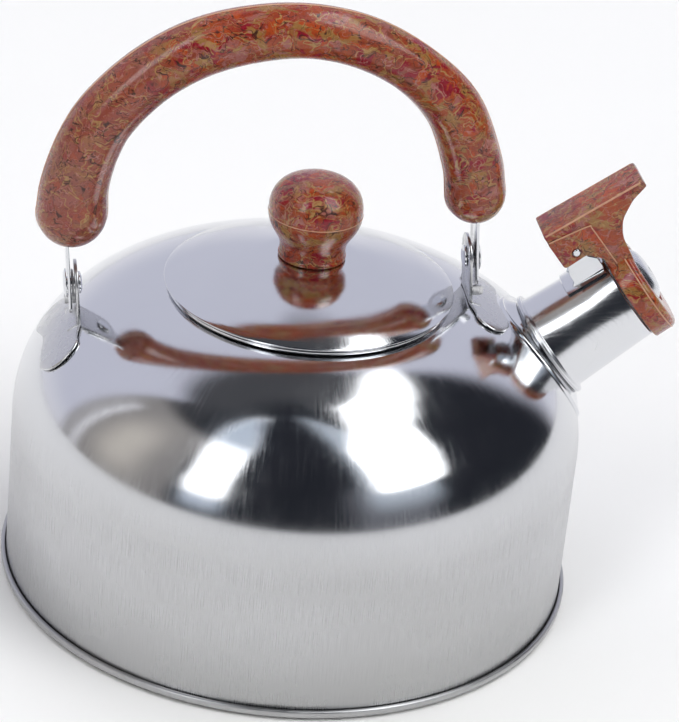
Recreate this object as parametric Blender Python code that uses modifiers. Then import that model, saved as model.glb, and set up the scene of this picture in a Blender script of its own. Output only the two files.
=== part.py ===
"""Stovetop whistling kettle: a drawn steel vessel, a lift-off lid, a swinging grip and a sprung
whistle cap on the spout.

Metres, +Z up. The origin is the centre of the flat base on the stove, and +X points to the spout.
Dimensions are named in millimetres and turned into metres where the geometry is made.
"""

import math

import bmesh
import bpy
from mathutils import Matrix, Vector

MM = 0.001
GAP = 0.3  # clearance kept between neighbouring pieces
SHEET = 0.7  # wall of the vessel, the lid and the spout

# Vessel
WALL_FOOT_RADIUS = 93.45
WALL_RADIUS = 93.3
SHOULDER_START = 54.0  # height where the wall begins to curve inwards
DOME_RADIUS, DOME_HEIGHT = 48.0, 102.2  # where the dome meets the raised lip round the lid
DOME_SLOPE = math.radians(13.9)
SHOULDER_PULL, DOME_PULL = 25.4, 27.5  # lengths of the shoulder curve's two handles
SHOULDER_SAMPLES = 60
LIP_RADIUS, LIP_TOP, LIP_BOTTOM = 44.95, 103.7, 100.0
SHELL_STEPS = 48
SHELL_RINGS = 8
HEM_RADIUS, HEM_TOP = 95.2, 3.5
BASE_FLAT_RADIUS = 88.4

# Spout: its frame has +Z along the spout's axis and -X to its upper side
SPOUT_X, SPOUT_Z = 80.0, 82.0
SPOUT_TILT = math.radians(38.9)
SPOUT_STEPS = 32
NECK_RADIUS, NECK_FOOT_RADIUS, NECK_CUT_RADIUS = 16.9, 23.6, 23.0
NECK_FOOT_DROP = 2.3  # the foot circle lies this much below the spout's axis
NECK_RINGS = 4
NECK_SINK = 0.2  # how far the neck's foot is let into the sheet of the dome
LIP_A, LIP_THICKNESS, NECK_LIP_RADIUS = 1.6, 0.6, 18.2
SEAM_RADIUS = 18.95
TUBE_FOOT_A, TUBE_MOUTH_A = 3.6, 32.9
TUBE_FOOT_RADIUS, TUBE_MOUTH_RADIUS = 16.7, 15.4

# Cap, lever and bracket, as distances along the spout's axis and up from it
PIN_A, PIN_N = 28.1, 27.3
PIN_RADIUS, PIN_HALF_LENGTH = 1.3, 8.2
CAP_BACK, CAP_FACE, CAP_RADIUS = 33.5, 41.5, 17.3
WHISTLE_N, WHISTLE_RADIUS = 3.0, 10.4
WHISTLE_THROAT = 8.0
WHISTLE_BACK, WHISTLE_FRONT = 36.8, 44.4
LEVER_HALF_WIDTH = 7.4
LUG_INNER, LUG_OUTER = 5.9, 7.9
EAR_INNER, EAR_OUTER = 4.6, 5.6
SADDLE_HALF_WIDTH, SADDLE_THICKNESS = 6.6, 0.7
SADDLE_FOOT_A, SADDLE_TOP_A = 17.5, 32.0

# Handle: its frame has +X along the rivets' common line
PIVOT_X, PIVOT_Z = -12.0, 109.2
PIVOT_TILT = math.radians(5.62)
PIVOT_HALF_SPAN = 64.31
PLATE = 1.0
PLATE_OFFSET = 1.15  # from the rivet's middle to the middle of the strap, or of the lug plate
STRAP_WIDTH, STRAP_TAIL, STRAP_TOP, STRAP_CORNER = 11.0, 9.2, 29.0, 3.0
EAR_WIDTH, EAR_FOOT = 15.0, 19.0
STOP_INNER, STOP_TOP, STOP_BOTTOM, STOP_REACH = 6.4, 7.5, 10.8, 3.4
RIVET_SHAFT, RIVET_HEAD = 2.1, 4.8
RIVET_HOLE = RIVET_SHAFT + GAP

# Grip: x, z and radius along its centre line
GRIP_ROUTE = (
    (-77.4, 128.0, 11.5),
    (-76.8, 138.0, 10.9),
    (-73.3, 151.0, 10.4),
    (-67.3, 162.5, 9.95),
    (-55.4, 175.2, 9.6),
    (-40.8, 184.5, 9.5),
    (-24.1, 189.7, 9.2),
    (-6.5, 191.2, 8.8),
    (11.0, 187.9, 8.7),
    (27.4, 179.5, 8.6),
    (40.6, 166.9, 9.2),
    (48.3, 149.5, 9.7),
    (50.8, 137.9, 10.1),
)
GRIP_SPAN_POINTS = 3
GRIP_END_POINTS = 4

# Lid and knob
LID_RADIUS, LID_RIM_HEIGHT = 46.8, 104.7
SKIRT_RADIUS, SKIRT_BOTTOM = 44.5, 97.0
BOSS_TOP = 114.3
KNOB_FOOT = BOSS_TOP + GAP
SCREW_RADIUS, SCREW_TOP = 1.7, 121.0
INSERT_RADIUS, INSERT_BORE, INSERT_TOP = 3.3, 2.0, 124.2
LID_STEPS, KNOB_STEPS, WHISTLE_STEPS, SMALL_STEPS = 48, 28, 24, 20

STEEL = ((0.78, 0.78, 0.79), 0.12, 1.0)
SATIN_STEEL = ((0.62, 0.62, 0.63), 0.32, 1.0)
BAKELITE = ((0.36, 0.09, 0.035), 0.22, 0.0)
SPRING_STEEL = ((0.42, 0.42, 0.44), 0.3, 1.0)
BRASS = ((0.72, 0.53, 0.24), 0.3, 1.0)


# Scene, collections and materials


def clear_scene():
    for obj in list(bpy.data.objects):
        bpy.data.objects.remove(obj, do_unlink=True)


def new_collection(name):
    collection = bpy.data.collections.new(name)
    bpy.context.scene.collection.children.link(collection)
    return collection


def material(name, look):
    colour, roughness, metallic = look
    made = bpy.data.materials.new(name)
    made.use_nodes = True
    shader = made.node_tree.nodes["Principled BSDF"]
    shader.inputs["Base Color"].default_value = (*colour, 1)
    shader.inputs["Roughness"].default_value = roughness
    shader.inputs["Metallic"].default_value = metallic
    return made


def add_object(name, data, parent=None, look=None):
    """A finished piece when it is given a look, and otherwise a hidden former or cutter."""
    obj = bpy.data.objects.new(name, data)
    if look:
        pieces.objects.link(obj)
        data.materials.append(material(name + "_material", look))
    else:
        cutters.objects.link(obj)
        obj.hide_render = True
        obj.display_type = "WIRE"
    obj.parent = parent
    return obj


def add_frame(name, location, tilt):
    frame = bpy.data.objects.new(name, None)
    pieces.objects.link(frame)
    frame.empty_display_size = 20 * MM
    frame.location = location
    frame.rotation_euler = (0, tilt, 0)
    return frame


# Shape builders


def turned(name, profile, steps, parent=None, look=None, closed=False):
    """A shape turned about its own Z axis from (radius, height) points in millimetres."""
    points = [(radius * MM, 0, height * MM) for radius, height in profile]
    edges = [(i, i + 1) for i in range(len(points) - 1)]
    if closed:
        edges.append((len(points) - 1, 0))
    mesh = bpy.data.meshes.new(name)
    mesh.from_pydata(points, edges, [])
    obj = add_object(name, mesh, parent, look)
    screw = obj.modifiers.new("turn", "SCREW")
    screw.axis = "Z"
    screw.steps = screw.render_steps = steps
    screw.use_merge_vertices = True
    screw.merge_threshold = 0.00001
    screw.use_smooth_shade = True
    return obj


def meshed(curve_object):
    """The curve object's shape as a mesh object with welded caps, in its place."""
    bpy.context.view_layer.update()
    graph = bpy.context.evaluated_depsgraph_get()
    mesh = bpy.data.meshes.new_from_object(curve_object.evaluated_get(graph))
    work = bmesh.new()
    work.from_mesh(mesh)
    bmesh.ops.remove_doubles(work, verts=work.verts, dist=0.000001)
    bmesh.ops.recalc_face_normals(work, faces=work.faces)
    work.to_mesh(mesh)
    work.free()
    name, home = curve_object.name, curve_object.users_collection[0]
    parent, place = curve_object.parent, curve_object.matrix_basis.copy()
    bpy.data.objects.remove(curve_object, do_unlink=True)
    obj = bpy.data.objects.new(name, mesh)
    home.objects.link(obj)
    obj.parent, obj.matrix_basis = parent, place
    if home is cutters:
        obj.hide_render = True
        obj.display_type = "WIRE"
    return obj


def plate(name, outline, thickness, parent=None, look=None):
    """A flat outline in its own XY plane, thickened to both sides of it, as a mesh."""
    data = bpy.data.curves.new(name, "CURVE")
    data.dimensions = "2D"
    data.fill_mode = "BOTH"
    data.extrude = thickness / 2 * MM
    spline = data.splines.new("POLY")
    spline.points.add(len(outline) - 1)
    for point, (u, v) in zip(spline.points, outline):
        point.co = (u * MM, v * MM, 0, 1)
    spline.use_cyclic_u = True
    return meshed(add_object(name, data, parent, look))


def upright_plate(name, outline, y_from, y_to, parent, look=None):
    """An outline in the parent's XZ plane, between two depths along Y."""
    obj = plate(name, outline, y_to - y_from, parent, look)
    obj.rotation_euler = (math.radians(90), 0, 0)
    obj.location = (0, (y_from + y_to) / 2 * MM, 0)
    return obj


def facing_plate(name, outline, x_from, x_to, parent, look=None):
    """An outline of (y, z) points in the parent's YZ plane, between two depths along X."""
    obj = plate(name, outline, x_to - x_from, parent, look)
    obj.rotation_euler = (math.radians(90), 0, math.radians(90))
    obj.location = ((x_from + x_to) / 2 * MM, 0, 0)
    return obj


def box(name, low, high, parent=None, look=None):
    mesh = bpy.data.meshes.new(name)
    size = [(b - a) * MM for a, b in zip(low, high)]
    middle = [(a + b) / 2 * MM for a, b in zip(low, high)]
    work = bmesh.new()
    bmesh.ops.create_cube(work, size=1, matrix=Matrix.Diagonal((*size, 1)))
    work.to_mesh(mesh)
    work.free()
    obj = add_object(name, mesh, parent, look)
    obj.location = middle
    return obj


def rod(name, radius, length, parent=None, look=None, sides=SMALL_STEPS):
    """A cylinder along its own Z axis, about its middle."""
    mesh = bpy.data.meshes.new(name)
    work = bmesh.new()
    bmesh.ops.create_cone(
        work,
        cap_ends=True,
        segments=sides,
        radius1=radius * MM,
        radius2=radius * MM,
        depth=length * MM,
    )
    work.to_mesh(mesh)
    work.free()
    return add_object(name, mesh, parent, look)


def combine(target, other, operation):
    change = target.modifiers.new(operation.lower() + "_" + other.name, "BOOLEAN")
    change.operation = operation
    change.solver = "EXACT"
    change.object = other


def smooth_round(obj, angle=35):
    if obj.type == "MESH" and obj.data.polygons:
        obj.data.shade_smooth()
        obj.data.set_sharp_from_angle(angle=math.radians(angle))


def arc(centre_u, centre_v, radius, start, end, count):
    """Points on an arc, with its angles in degrees."""
    step = (end - start) / count
    angles = [math.radians(start + step * i) for i in range(count + 1)]
    return [(centre_u + radius * math.cos(a), centre_v + radius * math.sin(a)) for a in angles]


def offset_line(line, distance):
    """The line moved to its right-hand side by a distance, point by point along its normals."""
    moved = []
    for i, (u, v) in enumerate(line):
        before, after = line[max(i - 1, 0)], line[min(i + 1, len(line) - 1)]
        run = Vector((after[0] - before[0], after[1] - before[1])).normalized()
        moved.append((u + run.y * distance, v - run.x * distance))
    return moved


# The vessel's outer line


def shoulder_line(count):
    """The dome's outer line from the lid seat down to the top of the straight wall."""
    start = Vector((DOME_RADIUS, DOME_HEIGHT))
    leave = start + DOME_PULL * Vector((math.cos(DOME_SLOPE), -math.sin(DOME_SLOPE)))
    end = Vector((WALL_RADIUS, SHOULDER_START))
    arrive = end + Vector((0, SHOULDER_PULL))
    line = []
    for i in range(count + 1):
        t = i / count
        s = 1 - t
        point = s**3 * start + 3 * s * s * t * leave + 3 * s * t * t * arrive + t**3 * end
        line.append((point.x, point.y))
    return line


def vessel_radius(height):
    """The vessel's outer radius at a height, read from its shoulder line."""
    line = shoulder_line(SHOULDER_SAMPLES)
    if height <= SHOULDER_START:
        return WALL_RADIUS
    for (r1, z1), (r2, z2) in zip(line, line[1:]):
        if z2 <= height <= z1:
            return r1 + (r2 - r1) * (z1 - height) / (z1 - z2)
    return 0.0


def spout_point(a, n, y):
    """A world point from its place along the spout's axis, up from it and across it."""
    across, up = math.cos(SPOUT_TILT), math.sin(SPOUT_TILT)
    return Vector((SPOUT_X + a * across - n * up, y, SPOUT_Z + a * up + n * across))


def dome_distance(n, y):
    """How far along the spout's axis a parallel line meets the dome."""
    inside, outside = -20.0, 15.0
    for _ in range(24):
        middle = (inside + outside) / 2
        point = spout_point(middle, n, y)
        if math.hypot(point.x, point.y) > vessel_radius(point.z):
            outside = middle
        else:
            inside = middle
    return inside


# Vessel pieces


def make_dome_solid(name, distance):
    """The space inside the vessel's outer surface moved out by a distance, as a former."""
    line = offset_line(shoulder_line(SHELL_RINGS), -distance)
    bottom = SHOULDER_START - 20
    profile = [(0, line[0][1])] + line + [(WALL_RADIUS + distance, bottom), (0, bottom)]
    return turned(name, profile, SHELL_STEPS)


def make_neck():
    """The ring of sheet drawn up from the dome to the spout's seam, lofted from a saddle to a circle."""
    steps = [i / NECK_RINGS for i in range(NECK_RINGS, -1, -1)]
    top = LIP_A + LIP_THICKNESS
    lip = [(NECK_LIP_RADIUS, LIP_A), (NECK_LIP_RADIUS, top), (NECK_RADIUS - SHEET, top)]

    mesh = bpy.data.meshes.new("neck")
    work = bmesh.new()
    loops = [[] for _ in range(2 * len(steps) + len(lip))]
    for k in range(SPOUT_STEPS):
        angle = 2 * math.pi * k / SPOUT_STEPS
        outside, inside = [], []
        for t in steps:
            radius = NECK_RADIUS + (NECK_FOOT_RADIUS - NECK_RADIUS) * t
            drop, sink = NECK_FOOT_DROP * t, NECK_SINK * t**6
            dome = dome_distance(radius * math.cos(angle) - drop, radius * math.sin(angle))
            a = dome + (LIP_A - dome) * (1 - t) ** 2 - sink
            outside.append((a, radius, drop))
            inside.append((a - (SHEET - 2 * sink) * t, radius - SHEET * (1 - t), drop))
        edge = [(a, radius, 0) for radius, a in lip]
        for loop, (a, radius, drop) in zip(loops, outside + edge + inside[::-1]):
            n, y = radius * math.cos(angle) - drop, radius * math.sin(angle)
            loop.append(work.verts.new(spout_point(a, n, y) * MM))
    for loop, following in zip(loops, loops[1:] + loops[:1]):
        for k in range(SPOUT_STEPS):
            after = (k + 1) % SPOUT_STEPS
            work.faces.new((loop[k], loop[after], following[after], following[k]))
    bmesh.ops.recalc_face_normals(work, faces=work.faces)
    work.to_mesh(mesh)
    work.free()
    return add_object("neck", mesh)


def make_body_shell(spout):
    shoulder = shoulder_line(SHELL_RINGS)
    outer = [
        (LIP_RADIUS, LIP_BOTTOM),
        (LIP_RADIUS, LIP_TOP - 1.2),
        (LIP_RADIUS + 0.4, LIP_TOP - 0.35),
        (LIP_RADIUS + 1.1, LIP_TOP),
        (LIP_RADIUS + 1.8, LIP_TOP - 0.5),
        *shoulder,
        (WALL_FOOT_RADIUS, 2.75),
        (94.25, 2.4),
    ]
    inner = [
        (94.25, 1.75),
        (WALL_FOOT_RADIUS - SHEET, 1.75),
        (WALL_FOOT_RADIUS - SHEET, 3.0),
        *offset_line(shoulder, SHEET)[::-1],
        (LIP_RADIUS + 1.2, LIP_TOP - SHEET),
        (LIP_RADIUS + SHEET, LIP_TOP - 1.3),
        (LIP_RADIUS + SHEET, LIP_BOTTOM),
    ]
    shell = turned("body_shell", outer + inner, SHELL_STEPS, look=STEEL, closed=True)
    cut_low, cut_high = -20, 10
    opening = rod("neck_opening", NECK_CUT_RADIUS, cut_high - cut_low, spout, sides=SPOUT_STEPS)
    opening.location = (NECK_FOOT_DROP * MM, 0, (cut_low + cut_high) / 2 * MM)
    combine(shell, opening, "DIFFERENCE")
    combine(shell, make_neck(), "UNION")


def make_base_plate():
    """The bottom disc, hemmed over the out-turned foot of the shell, and flat on the stove."""
    profile = [
        (0, 0.9),
        (88.0, 0.9),
        (89.6, 1.4),
        (HEM_RADIUS - 0.65, 1.4),
        (HEM_RADIUS - 0.65, 2.75),
        (WALL_FOOT_RADIUS + 0.35, 2.75),
        (WALL_FOOT_RADIUS + 0.35, HEM_TOP - 0.2),
        (94.2, HEM_TOP),
        (94.8, HEM_TOP - 0.05),
        (HEM_RADIUS, HEM_TOP - 0.5),
        (HEM_RADIUS, 1.2),
        (94.8, 0.75),
        (89.9, 0.7),
        (BASE_FLAT_RADIUS, 0),
        (0, 0),
    ]
    turned("base_plate", profile, SHELL_STEPS, look=SATIN_STEEL)


# Spout, bracket, pin and spring


def tube_radius(a):
    share = (a - TUBE_FOOT_A) / (TUBE_MOUTH_A - TUBE_FOOT_A)
    return TUBE_FOOT_RADIUS + (TUBE_MOUTH_RADIUS - TUBE_FOOT_RADIUS) * share


def make_spout_tube(spout):
    seam = LIP_A + LIP_THICKNESS + GAP
    profile = [
        (TUBE_MOUTH_RADIUS - SHEET, TUBE_MOUTH_A),
        (TUBE_MOUTH_RADIUS, TUBE_MOUTH_A),
        (TUBE_FOOT_RADIUS, TUBE_FOOT_A),
        (TUBE_FOOT_RADIUS + 0.5, seam + SHEET),
        (SEAM_RADIUS - 0.3, seam + SHEET),
        (SEAM_RADIUS, seam + 0.3),
        (SEAM_RADIUS, LIP_A + 0.2),
        (NECK_LIP_RADIUS + GAP, LIP_A + 0.2),
        (NECK_LIP_RADIUS + GAP, seam),
        (NECK_RADIUS, seam),
        (TUBE_FOOT_RADIUS - SHEET, TUBE_FOOT_A),
    ]
    turned("spout_tube", profile, SPOUT_STEPS, spout, STEEL, closed=True)


def make_tube_solid(name, distance, spout):
    """The space inside the tube's outer surface moved out by a distance, as a former."""
    top, foot = TUBE_MOUTH_A + 1, SADDLE_FOOT_A - 5
    profile = [
        (0, top),
        (tube_radius(top) + distance, top),
        (tube_radius(foot) + distance, foot),
        (0, foot),
    ]
    return turned(name, profile, SPOUT_STEPS, spout)


def in_spout(outline):
    """(a, n) points as the spout frame's (x, z)."""
    return [(-n, a) for a, n in outline]


def pin_hole(name, spout):
    hole = rod(name, PIN_RADIUS + GAP, 3 * PIN_HALF_LENGTH, spout)
    hole.rotation_euler = (math.radians(90), 0, 0)
    hole.location = (-PIN_N * MM, 0, PIN_A * MM)
    return hole


def make_cap_bracket(spout):
    """Two ears on a saddle that is welded along the top of the spout."""
    low = (-TUBE_FOOT_RADIUS - 2, -SADDLE_HALF_WIDTH, SADDLE_FOOT_A)
    high = (-TUBE_MOUTH_RADIUS + 3, SADDLE_HALF_WIDTH, SADDLE_TOP_A)
    saddle = box("cap_bracket", low, high, spout, STEEL)
    combine(saddle, make_tube_solid("saddle_former", SADDLE_THICKNESS + GAP, spout), "INTERSECT")
    ear = [
        (21.7, 14.0),
        (32.3, 14.0),
        (32.3, 20.4),
        (29.9, 23.1),
        *arc(PIN_A, PIN_N, 3.0, -30, 180, 8),
        (21.7, 21.5),
    ]
    for side, low in (("near", -EAR_OUTER), ("far", EAR_INNER)):
        name = "bracket_ear_" + side
        combine(saddle, upright_plate(name, in_spout(ear), low, low + PLATE, spout), "UNION")
    combine(saddle, make_tube_solid("tube_clearance", GAP, spout), "DIFFERENCE")
    combine(saddle, pin_hole("bracket_pin_hole", spout), "DIFFERENCE")


def make_cap_pin(spout):
    pin = rod("cap_pin", PIN_RADIUS, 2 * PIN_HALF_LENGTH, spout, SPRING_STEEL)
    pin.rotation_euler = (math.radians(90), 0, 0)
    pin.location = (-PIN_N * MM, 0, PIN_A * MM)
    smooth_round(pin)


def make_cap_spring(spout):
    """A torsion spring round the pin, with one leg to the bracket and one to the lever."""
    wire, coil, turns, per_turn, pitch = 0.3, 2.25, 6, 10, 1.0
    half = turns * pitch / 2
    points = []
    for i in range(turns * per_turn + 1):
        angle = 2 * math.pi * i / per_turn
        points.append((coil * math.cos(angle), coil * math.sin(angle), i / per_turn * pitch - half))
    leg = 4.6
    first, last = (coil, -leg, -half), (coil, leg, half)
    data = bpy.data.curves.new("cap_spring", "CURVE")
    data.dimensions = "3D"
    data.bevel_depth = wire * MM
    data.bevel_resolution = 2
    data.use_fill_caps = True
    route = [first] + points + [last]
    spline = data.splines.new("POLY")
    spline.points.add(len(route) - 1)
    for point, place in zip(spline.points, route):
        point.co = (*[value * MM for value in place], 1)
    spring = add_object("cap_spring", data, spout, SPRING_STEEL)
    spring.rotation_euler = (math.radians(90), 0, 0)
    spring.location = (-PIN_N * MM, 0, PIN_A * MM)


# Whistle cap


def make_cap_lever(spout):
    """The moulded cap: a disc over the mouth, a web up from it, a thumb slab and two hinge lugs."""
    disc = [
        (0, CAP_FACE),
        (CAP_RADIUS - 2.2, CAP_FACE),
        (CAP_RADIUS - 0.7, CAP_FACE - 0.7),
        (CAP_RADIUS, CAP_FACE - 2.2),
        (CAP_RADIUS, CAP_BACK + 0.5),
        (CAP_RADIUS - 0.5, CAP_BACK),
        (0, CAP_BACK),
    ]
    lever = turned("cap_lever", disc, SPOUT_STEPS, spout, BAKELITE)
    web = [
        (22.2, 34.8),
        (22.3, 38.3),
        (58.6, 35.8),
        (58.8, 33.4),
        (52.6, 31.7),
        (46.4, 27.9),
        (43.2, 22.6),
        (42.2, 15.6),
        (41.2, 10.0),
        (34.3, 10.0),
        (34.3, 31.2),
    ]
    lug = [
        (22.0, 24.5),
        (30.4, 24.5),
        (34.0, 20.0),
        (34.4, 14.5),
        (37.0, 14.5),
        (37.0, 33.0),
        (22.1, 36.0),
    ]
    width = LEVER_HALF_WIDTH
    combine(lever, upright_plate("lever_web", in_spout(web), -width, width, spout), "UNION")
    for name, low, high in (
        ("lug_near", -LUG_OUTER, -LUG_INNER),
        ("lug_far", LUG_INNER, LUG_OUTER),
    ):
        combine(lever, upright_plate(name, in_spout(lug), low, high, spout), "UNION")
    combine(lever, pin_hole("lever_pin_hole", spout), "DIFFERENCE")
    depth = 20
    seat = rod("whistle_seat", WHISTLE_RADIUS + 0.4, depth, spout, sides=WHISTLE_STEPS)
    seat.location = (-WHISTLE_N * MM, 0, (WHISTLE_BACK - GAP + depth / 2) * MM)
    throat = rod("whistle_throat", WHISTLE_THROAT, depth, spout, sides=WHISTLE_STEPS)
    throat.location = (-WHISTLE_N * MM, 0, CAP_BACK * MM)
    combine(lever, seat, "DIFFERENCE")
    combine(lever, throat, "DIFFERENCE")


def make_whistle(spout):
    """Two pressed discs with centred holes: the air between them sounds."""
    inner, outer, hole, wall = WHISTLE_BACK, WHISTLE_FRONT, 1.6, 0.6
    disc = [
        (hole, inner + wall),
        (WHISTLE_RADIUS, inner + wall),
        (WHISTLE_RADIUS, inner),
        (hole, inner),
    ]
    back = turned("whistle_plate", disc, WHISTLE_STEPS, spout, STEEL, closed=True)
    rim = inner + wall + GAP
    crown = outer - 2.2
    dome = [
        (hole, outer),
        (4.0, outer - 0.15),
        (7.0, outer - 0.8),
        (9.2, crown),
        (WHISTLE_RADIUS, crown - 1.6),
        (WHISTLE_RADIUS, rim),
        (WHISTLE_RADIUS - wall, rim),
        (WHISTLE_RADIUS - wall, crown - 1.7),
        (8.7, crown - 0.45),
        (6.8, outer - 1.4),
        (4.0, outer - 0.75),
        (hole, outer - wall),
    ]
    front = turned("whistle_dome", dome, WHISTLE_STEPS, spout, STEEL, closed=True)
    for piece in (back, front):
        piece.location = (-WHISTLE_N * MM, 0, 0)


# Handle


def pad_outline(fold_x, outward, reach):
    """The riveted foot of a lug plate in plan, as a two-lobed leaf across the fold."""
    half = [
        (-0.5, 7.5),
        (0.6, 12.0),
        (0.8, 15.5),
        (2.8, 18.3),
        (5.8, 19.5),
        (9.3, 18.0),
        (11.7, 14.0),
        (12.0, 11.0),
        (11.3, 6.0),
        (10.5, 0.0),
    ]
    near = [(w, -y) for w, y in half[-2::-1]]
    return [(fold_x + outward * w * reach, y) for w, y in half + near]


def make_lug_plate(side, outward, fold_x, reach, pivot):
    """A sheet lug: a pad lying on the dome, folded up into a plate with the rivet hole and a stop."""
    middle = outward * (PIVOT_HALF_SPAN - PLATE_OFFSET)
    low, high = middle - PLATE / 2, middle + PLATE / 2
    half = EAR_WIDTH / 2
    outline = [(-half, -EAR_FOOT), (half, -EAR_FOOT), *arc(0, 0, half, 0, 180, 16)]
    name = "handle_lug_" + side
    lug = facing_plate(name, outline, low, high, pivot, STEEL)
    pad_bottom, pad_top = 65, 125
    pad = plate(name + "_pad", pad_outline(fold_x, outward, reach), pad_top - pad_bottom)
    pad.location = (0, 0, (pad_bottom + pad_top) / 2 * MM)
    combine(pad, pad_former, "INTERSECT")
    combine(lug, pad, "UNION")

    face = low if outward < 0 else high
    tip = face + outward * STOP_REACH
    root = face - outward * PLATE / 2
    stop_y = -outward * STOP_INNER
    edge_y = -outward * half
    stop = box(
        name + "_stop",
        (min(tip, root), min(stop_y, edge_y), -STOP_BOTTOM),
        (max(tip, root), max(stop_y, edge_y), -STOP_TOP),
        pivot,
    )
    combine(lug, stop, "UNION")
    combine(lug, dome_clearance, "DIFFERENCE")
    combine(lug, rivet_hole(name + "_hole", outward, pivot), "DIFFERENCE")


def rivet_hole(name, outward, pivot):
    length = 12
    hole = rod(name, RIVET_HOLE, length, pivot)
    hole.rotation_euler = (0, math.radians(90), 0)
    hole.location = (outward * PIVOT_HALF_SPAN * MM, 0, 0)
    return hole


def strap_outline(extra=0.0):
    half = STRAP_WIDTH / 2 + extra
    corner = STRAP_CORNER
    tail = -STRAP_TAIL + corner
    top = STRAP_TOP + extra
    return [
        *arc(-half + corner, tail, corner, 180, 270, 5),
        *arc(half - corner, tail, corner, 270, 360, 5),
        (half, top),
        (-half, top),
    ]


def make_strap(side, outward, pivot):
    middle = outward * (PIVOT_HALF_SPAN + PLATE_OFFSET)
    low, high = middle - PLATE / 2, middle + PLATE / 2
    strap = facing_plate("handle_strap_" + side, strap_outline(), low, high, pivot, STEEL)
    combine(strap, rivet_hole("strap_hole_" + side, outward, pivot), "DIFFERENCE")


def make_rivet(side, outward, pivot):
    """A rivet with a low domed head outside and a clinched end inside, and the washer round it."""
    head = PLATE_OFFSET + PLATE / 2 + GAP
    profile = [
        (0, head + 0.75),
        (2.2, head + 0.8),
        (3.1, head + 1.0),
        (3.8, head + 0.8),
        (RIVET_HEAD, head + 0.35),
        (RIVET_HEAD, head),
        (RIVET_SHAFT, head),
        (RIVET_SHAFT, -head),
        (3.6, -head),
        (3.6, -head - 0.5),
        (2.4, -head - 1.0),
        (0, -head - 1.0),
    ]
    rivet = turned("handle_rivet_" + side, profile, SMALL_STEPS, pivot, STEEL)
    ring = [(RIVET_HOLE, 0.3), (4.4, 0.3), (4.4, -0.3), (RIVET_HOLE, -0.3)]
    washer = turned("handle_washer_" + side, ring, SMALL_STEPS, pivot, SATIN_STEEL, closed=True)
    for piece in (rivet, washer):
        piece.rotation_euler = (0, math.radians(90 * outward), 0)
        piece.location = (outward * PIVOT_HALF_SPAN * MM, 0, 0)


def smooth_route(route, per_span):
    """Catmull-Rom points through the route, keeping each coordinate and the radius smooth."""
    points = [Vector(p) for p in route]
    ends = [2 * points[0] - points[1]] + points + [2 * points[-1] - points[-2]]
    smooth = []
    for before, start, end, after in zip(ends, ends[1:], ends[2:], ends[3:]):
        for i in range(per_span):
            t = i / per_span
            smooth.append(
                0.5
                * (
                    2 * start
                    + (end - before) * t
                    + (2 * before - 5 * start + 4 * end - after) * t**2
                    + (3 * start - before - 3 * end + after) * t**3
                )
            )
    return smooth + [points[-1]]


def round_end(centre, inner, count):
    """Sections of a half ball past the route's end, from its tip to just short of the end."""
    run = Vector((centre.x - inner.x, centre.y - inner.y)).normalized()
    sections = []
    for i in range(count):
        angle = math.radians(88 - 88 * i / count)
        reach, radius = centre.z * math.sin(angle), centre.z * math.cos(angle)
        sections.append(Vector((centre.x + run.x * reach, centre.y + run.y * reach, radius)))
    return sections


def make_grip(pivot):
    """The moulded grip, a bow that swells towards its ends, with a slot in each for its strap."""
    route = smooth_route(GRIP_ROUTE, GRIP_SPAN_POINTS)
    start = round_end(route[0], route[1], GRIP_END_POINTS)
    end = round_end(route[-1], route[-2], GRIP_END_POINTS)
    sections = start + route + end[::-1]
    data = bpy.data.curves.new("handle_grip", "CURVE")
    data.dimensions = "3D"
    data.bevel_depth = MM
    data.bevel_resolution = 4
    data.use_fill_caps = True
    spline = data.splines.new("POLY")
    spline.points.add(len(sections) - 1)
    for point, (x, z, radius) in zip(spline.points, sections):
        point.co = (x * MM, 0, z * MM, 1)
        point.radius = radius
    grip = meshed(add_object("handle_grip", data, look=BAKELITE))
    smooth_round(grip)
    for side, outward in (("left", -1), ("right", 1)):
        middle = outward * (PIVOT_HALF_SPAN + PLATE_OFFSET)
        reach = PLATE / 2 + GAP
        name = "grip_slot_" + side
        slot = facing_plate(name, strap_outline(GAP), middle - reach, middle + reach, pivot)
        combine(grip, slot, "DIFFERENCE")


# Lid and knob


def make_lid_cover():
    """A shallow dome of sheet, flat under the knob and turned down at the rim."""
    crown = [
        (10.8, BOSS_TOP),
        (13.0, 114.2),
        (16.0, 113.8),
        (20.0, 112.95),
        (24.0, 112.0),
        (30.0, 110.45),
        (36.0, 108.75),
        (40.0, 107.5),
        (44.0, 106.05),
        (45.5, 105.45),
        (46.4, 105.05),
        (LID_RADIUS, LID_RIM_HEIGHT),
    ]
    hole = SCREW_RADIUS + GAP + 0.2
    outer = [(hole, BOSS_TOP)] + crown
    inner = [(LID_RADIUS - 0.5, LID_RIM_HEIGHT - 0.35)] + offset_line(crown[:-1], SHEET)[::-1]
    turned("lid_cover", outer + inner + [(hole, BOSS_TOP - SHEET)], LID_STEPS, look=STEEL, closed=True)


def make_lid_skirt():
    """The ring under the cover that centres the lid in the opening."""
    top, flange = 104.5, 38.0
    profile = [
        (flange, top),
        (SKIRT_RADIUS - 0.5, top),
        (SKIRT_RADIUS, top - 0.7),
        (SKIRT_RADIUS, SKIRT_BOTTOM + 0.5),
        (SKIRT_RADIUS - 0.4, SKIRT_BOTTOM),
        (SKIRT_RADIUS - 1.1, SKIRT_BOTTOM),
        (SKIRT_RADIUS - SHEET, SKIRT_BOTTOM + 0.8),
        (SKIRT_RADIUS - SHEET, top - SHEET),
        (flange, top - SHEET),
    ]
    turned("lid_skirt", profile, LID_STEPS, look=STEEL, closed=True)


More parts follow.
